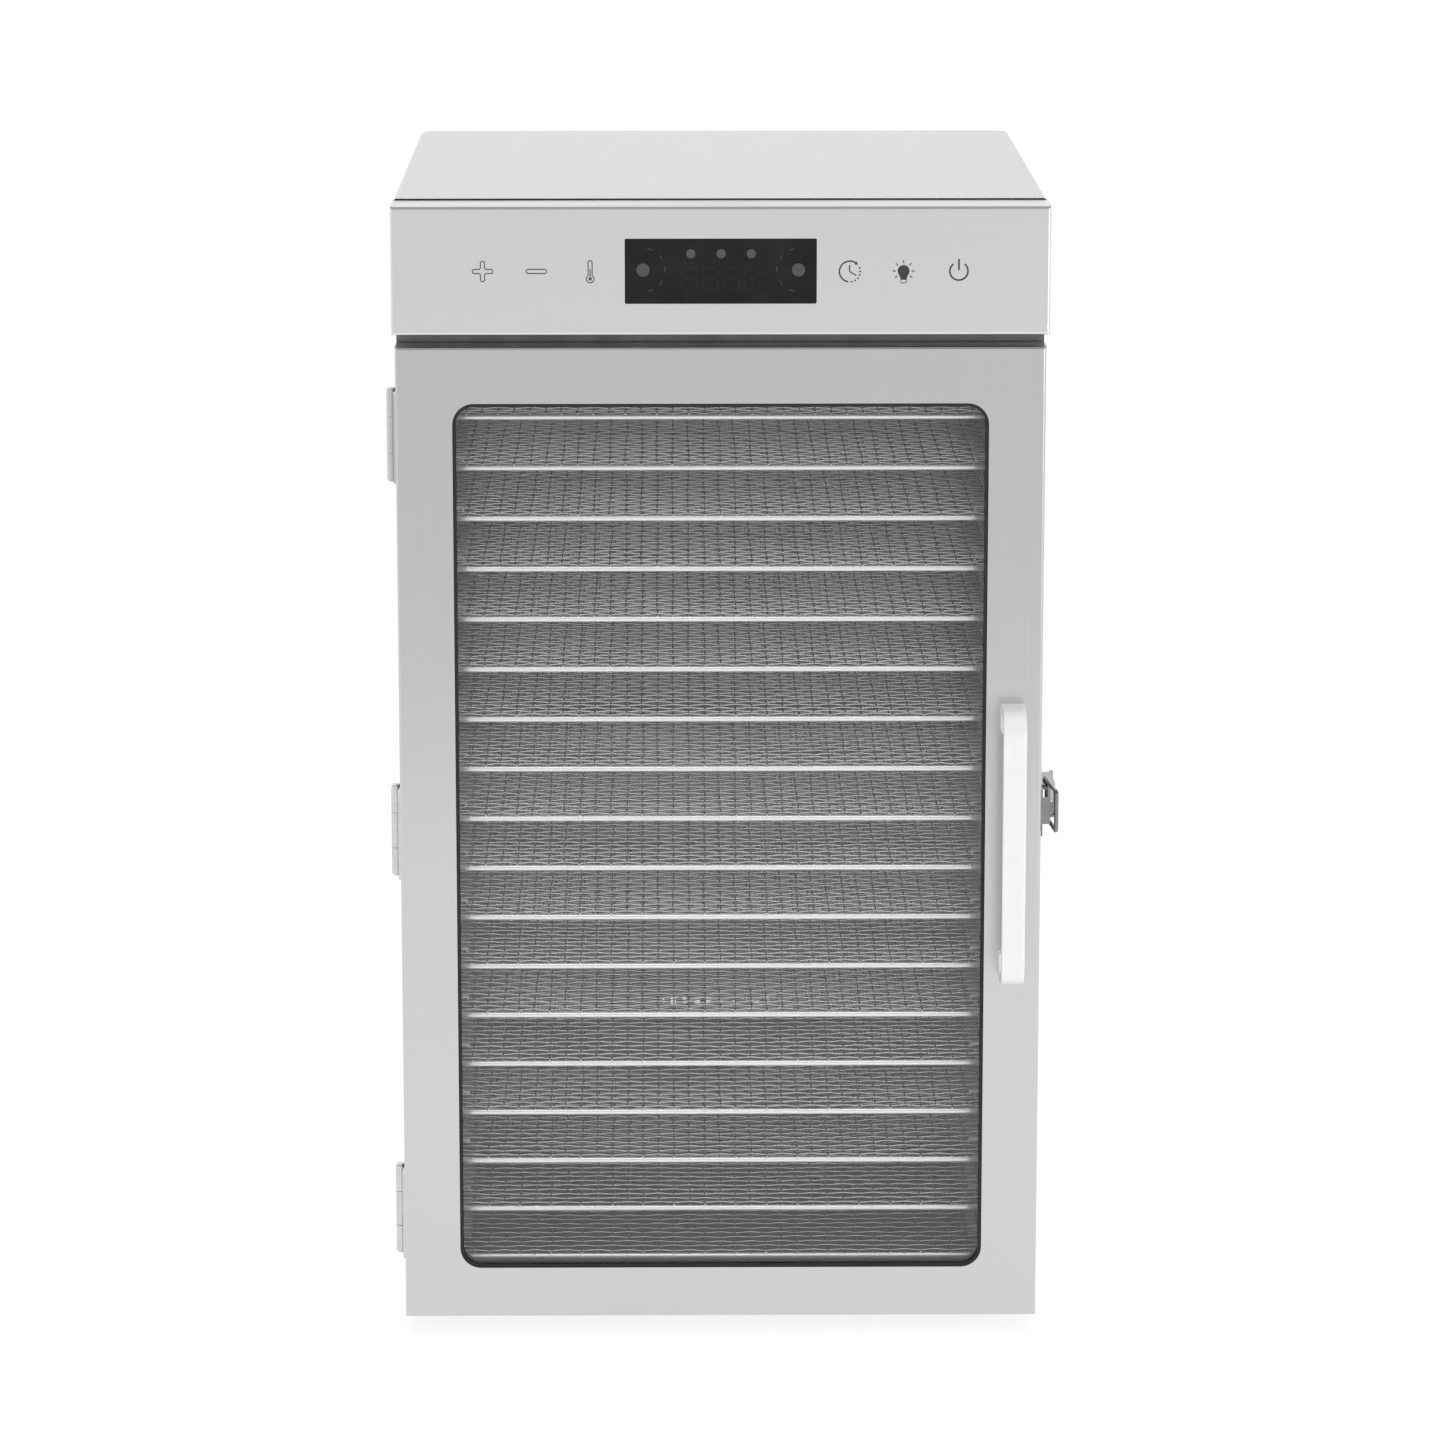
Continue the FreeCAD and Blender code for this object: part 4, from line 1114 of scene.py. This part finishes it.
    def rays(self) -> MeshMaker:
        """Draws the light key's rays and lamp cap, which are printed paler.

        Returns:
            The mesh they are in.
        """
        maker, span = MeshMaker(), self.y_span()
        x, z = self.light_x, self.centre_z()
        for angle in self.ray_angles:
            ends = [arc((x, z), radius, angle, angle, 1)[0] for radius in self.ray_ends]
            maker.ribbon(ends, self.ray_line, span)
        cap = [(2.1, -5.5), (-2.1, -5.5), (-2.1, -6.9), (-1.3, -7.8), (1.3, -7.8), (2.1, -6.9)]
        maker.ribbon([(x + a * MM, z + b * MM) for a, b in cap], self.cap_line, span, True)
        return maker

    def power(self, maker: MeshMaker) -> None:
        """Adds the power key: a ring open at the top, and a bar through the gap.

        Args:
            maker: The mesh that gets it.
        """
        x, z, span = self.power_x, self.centre_z() - self.ring_drop, self.y_span()
        maker.ribbon(arc((x, z), self.ring, 128, 412, 44), self.ring_line, span)
        maker.ribbon([(x, z + end) for end in self.ring_bar], self.ring_line, span)

    def build(self) -> None:
        """Prints the keys on the fascia."""
        dark = MeshMaker()
        self.clock(dark)
        self.bulb(dark)
        self.power(dark)
        for name, maker, piece, ink in (
            ("dark_keys", dark, "touch_keys_dark", DARK_INK),
            ("pale_rays", self.rays(), "touch_key_rays", PALE_INK),
            ("signs", self.signs(), "touch_key_signs", PALE_INK),
        ):
            add_piece(maker.mesh(name, False), piece, ink, CABINET)


@dataclass
class DisplayMarks(FrontPrint):
    """What shows through the dark display while it is off: lamps, tick marks and digits."""

    node: str = "display_lens"
    small_dot: float = 3.0 * MM
    small_xs: tuple[float, ...] = (-19.5 * MM, 0.2 * MM, 19.8 * MM)
    small_rise: float = 11.4 * MM
    large_dot: float = 4.3 * MM
    large_x: float = 50.6 * MM
    large_rise: float = 0.8 * MM
    tick_angles: tuple[int, ...] = (72, 36, 2, -35, -71)
    tick_half: int = 7
    tick_radius: float = 14.2 * MM
    tick_width: float = 0.9 * MM
    digit_width: float = 9.6 * MM
    digit_height: float = 14.4 * MM
    digit_pitch: float = 13.8 * MM
    digit_drop: float = 4.9 * MM
    digit_line: float = 1.9 * MM
    digit_gap: float = 0.5 * MM

    def lamps(self) -> MeshMaker:
        """Draws three small status lamps and one large lamp at each side.

        Returns:
            The mesh they are in.
        """
        maker, span, z = MeshMaker(), self.y_span(), self.centre_z()
        for x in self.small_xs:
            maker.plate(arc((x, z + self.small_rise), self.small_dot, 0, 350, 35), span)
        for x in (-self.large_x, self.large_x):
            maker.plate(arc((x, z + self.large_rise), self.large_dot, 0, 350, 35), span)
        return maker

    def ticks(self) -> MeshMaker:
        """Draws five short arcs beside each large lamp, on the side towards the digits.

        Returns:
            The mesh they are in.
        """
        maker, span, z = MeshMaker(), self.y_span(), self.centre_z() + self.large_rise
        for side in (-1, 1):
            for middle in self.tick_angles:
                turned = middle if side < 0 else 180 - middle
                first, last = turned - self.tick_half, turned + self.tick_half
                marks = arc((side * self.large_x, z), self.tick_radius, first, last, 4)
                maker.ribbon(marks, self.tick_width, span)
        return maker

    def digits(self) -> MeshMaker:
        """Draws four seven-segment digits, unlit.

        Returns:
            The mesh they are in.
        """
        maker, span = MeshMaker(), self.y_span()
        z = self.centre_z() - self.digit_drop
        w, h, gap = self.digit_width / 2, self.digit_height / 2, self.digit_gap
        for place in (-1.5, -0.5, 0.5, 1.5):
            x = place * self.digit_pitch
            for level in (-h, 0, h):
                bar = [(x - w + gap, z + level), (x + w - gap, z + level)]
                maker.ribbon(bar, self.digit_line, span)
            for side in (-w, w):
                for low, high in ((-h, 0), (0, h)):
                    bar = [(x + side, z + low + gap), (x + side, z + high - gap)]
                    maker.ribbon(bar, self.digit_line, span)
        return maker

    def build(self) -> None:
        """Puts the marks on the display."""
        for name, maker, finish in (
            ("display_lamps", self.lamps(), LAMP_DOT),
            ("display_ticks", self.ticks(), TICK_INK),
            ("display_digits", self.digits(), GHOST_DIGIT),
        ):
            add_piece(maker.mesh(name, False), name, finish, CABINET)


@dataclass
class SeamShadowStrip:
    """Thin dark strip that fills the seam between the head's front and its lid: painted shadow that
    draws the seam's dark line.

    It stands a little proud of them.
    """

    proud: float = 0.9 * MM
    depth: float = 4.0 * MM
    corner: float = 2.0 * MM
    corner_steps: int = 6

    def build(self) -> None:
        """Runs the strip up one side, over the top and down the other."""
        low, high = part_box("control_fascia")
        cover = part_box("top_cover")[0].y
        inward = self.depth / 2 - self.proud
        x, top = high.x - inward, high.z - inward
        path = [(-x, low.z + self.depth)]
        middle_z, steps = top - self.corner, self.corner_steps
        path += arc((-x + self.corner, middle_z), self.corner, 180, 90, steps)
        path += arc((x - self.corner, middle_z), self.corner, 90, 0, steps)
        path.append((x, low.z + self.depth))
        maker = MeshMaker()
        maker.ribbon(path, self.depth, (high.y, cover))
        strip = maker.mesh("seam_shadow_strip", False)
        add_piece(strip, "seam_shadow_strip", SEAM_SHADOW_BLACK, CABINET)


@dataclass
class Cabinet:
    """Every CAD node that stays as it is and only gets its finish."""

    nodes: dict[str, bpy.types.Object]

    def dress(self) -> None:
        """Gives each node its material."""
        for name, finish in FINISH_OF.items():
            mesh_object = self.nodes[name]
            for place in mesh_object.material_slots:
                place.material = finish.material()
            LOG.info("%s is %s", name, finish.name)


@dataclass
class Studio:
    """Light-table sheet, soft lights and the camera.

    The room is bright at the horizon and dim overhead, so that folded edges draw as thin dark
    lines. It is a little dimmer in front of the object too. The two spans are of the room's Z and
    Y directions, as parts of 1.
    """

    camera_place: tuple[float, float, float] = (-0.0335, -3.8275, 1.181)
    lens: float = 138.5
    pan: float = 0.0033
    overhead: float = 0.45
    horizon: float = 1.0
    height_span: tuple[float, float] = (0.1, 0.68)
    front_share: float = 0.8
    front_span: tuple[float, float] = (-0.85, -0.1)
    floor_front: float = -2.2
    floor_back: float = 3.0
    floor_half: float = 5.0
    wall_height: float = 4.0
    bend: float = 1.5
    bend_steps: int = 12

    def camera(self) -> None:
        """Makes the camera, aimed so that the object sits in the middle of the frame."""
        data = bpy.data.cameras.new("camera")
        data.sensor_width = 36.0
        data.lens = self.lens
        data.clip_end = 100.0
        made = bpy.data.objects.new("camera", data)
        bpy.context.scene.collection.objects.link(made)
        made.location = self.camera_place
        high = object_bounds()[1]
        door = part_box("door_outer_panel")[0]
        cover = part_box("top_cover")[1]
        place = Vector(self.camera_place)
        upper = math.atan2(place.z - high.z, cover.y - place.y)
        lower = math.atan2(place.z - door.z, door.y - place.y)
        pitch = (upper + lower) / 2
        made.rotation_euler = (math.pi / 2 - pitch, 0.0, math.atan2(place.x - self.pan, -place.y))
        bpy.context.scene.camera = made

    def world(self) -> None:
        """Makes the room: white round the horizon, dimmer overhead."""
        world = bpy.data.worlds.new("white_room")
        bpy.context.scene.world = world
        world.use_nodes = True
        tree = world.node_tree
        tree.nodes.clear()
        place = add_node(tree, "ShaderNodeTexCoord").outputs["Generated"]
        parts = add_node(tree, "ShaderNodeSeparateXYZ", {"Vector": place})
        height = add_node(
            tree,
            "ShaderNodeMapRange",
            {
                "Value": parts.outputs["Z"],
                "From Min": self.height_span[0],
                "From Max": self.height_span[1],
                "To Min": self.horizon,
                "To Max": self.overhead,
            },
        )
        front = add_node(
            tree,
            "ShaderNodeMapRange",
            {
                "Value": parts.outputs["Y"],
                "From Min": self.front_span[0],
                "From Max": self.front_span[1],
                "To Min": self.front_share,
                "To Max": 1.0,
            },
        )
        strength = add_node(
            tree,
            "ShaderNodeMath",
            {0: height.outputs[0], 1: front.outputs[0]},
            operation="MULTIPLY",
        )
        sky = add_node(
            tree,
            "ShaderNodeBackground",
            {"Color": linear("#FFFFFF"), "Strength": strength.outputs[0]},
        )
        add_node(tree, "ShaderNodeOutputWorld", {"Surface": sky.outputs["Background"]})

    def sweep(self) -> None:
        """Lays the sheet: flat under the object, then curved up behind it."""
        profile = [(self.floor_front, 0.0), (self.floor_back, 0.0)]
        for i in range(1, self.bend_steps + 1):
            turn = math.pi / 2 * i / self.bend_steps
            y = self.floor_back + self.bend * math.sin(turn)
            profile.append((y, self.bend * (1 - math.cos(turn))))
        profile.append((self.floor_back + self.bend, self.wall_height))
        corners = [(x, y, z) for y, z in profile for x in (-self.floor_half, self.floor_half)]
        faces = [(2 * i, 2 * i + 1, 2 * i + 3, 2 * i + 2) for i in range(len(profile) - 1)]
        mesh = bpy.data.meshes.new("paper_sweep")
        mesh.from_pydata(corners, [], faces)
        mesh.shade_smooth()
        mesh.materials.append(PAPER.material())
        floor = bpy.data.objects.new("paper_sweep", mesh)
        bpy.context.scene.collection.objects.link(floor)
        floor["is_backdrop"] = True

    def soft_light(
        self,
        name: str,
        place: tuple[float, float, float],
        target: tuple[float, float, float],
        size: float,
        power: float,
        mirrored: bool = True,
    ) -> None:
        """Adds a large square lamp.

        Args:
            name: The lamp's name.
            place: Its middle.
            target: The point it faces.
            size: Its side.
            power: Its power in watts.
            mirrored: False where no surface mirrors it, so that it only adds soft light.
        """
        data = bpy.data.lights.new(name, "AREA")
        data.size = size
        data.energy = power
        lamp = bpy.data.objects.new(name, data)
        bpy.context.scene.collection.objects.link(lamp)
        lamp.location = place
        lamp.visible_glossy = mirrored
        lamp.rotation_euler = (Vector(target) - Vector(place)).to_track_quat("-Z", "Y").to_euler()

    def build(self) -> None:
        """Sets up the room, the lamps and the camera."""
        bpy.context.scene.view_settings.view_transform = "Standard"
        self.world()
        self.sweep()
        self.soft_light(
            "overhead",
            place=(0.0, -0.6, 3.2),
            target=(0.0, -0.6, 0.0),
            size=3.0,
            power=60.0,
            mirrored=False,
        )
        self.soft_light(
            "front_right", place=(2.2, -2.6, 0.9), target=(0.0, -0.2, 0.4), size=1.4, power=16.0
        )
        self.camera()


def main() -> None:
    """Builds the looks in order."""
    logging.basicConfig(level=logging.INFO, format="%(message)s")
    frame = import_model()
    Cabinet(frame["nodes"]).dress()
    TrayStack().build()
    TouchKeys().build()
    DisplayMarks().build()
    SeamShadowStrip().build()
    Studio().build()


if __name__ == "__main__":
    main()
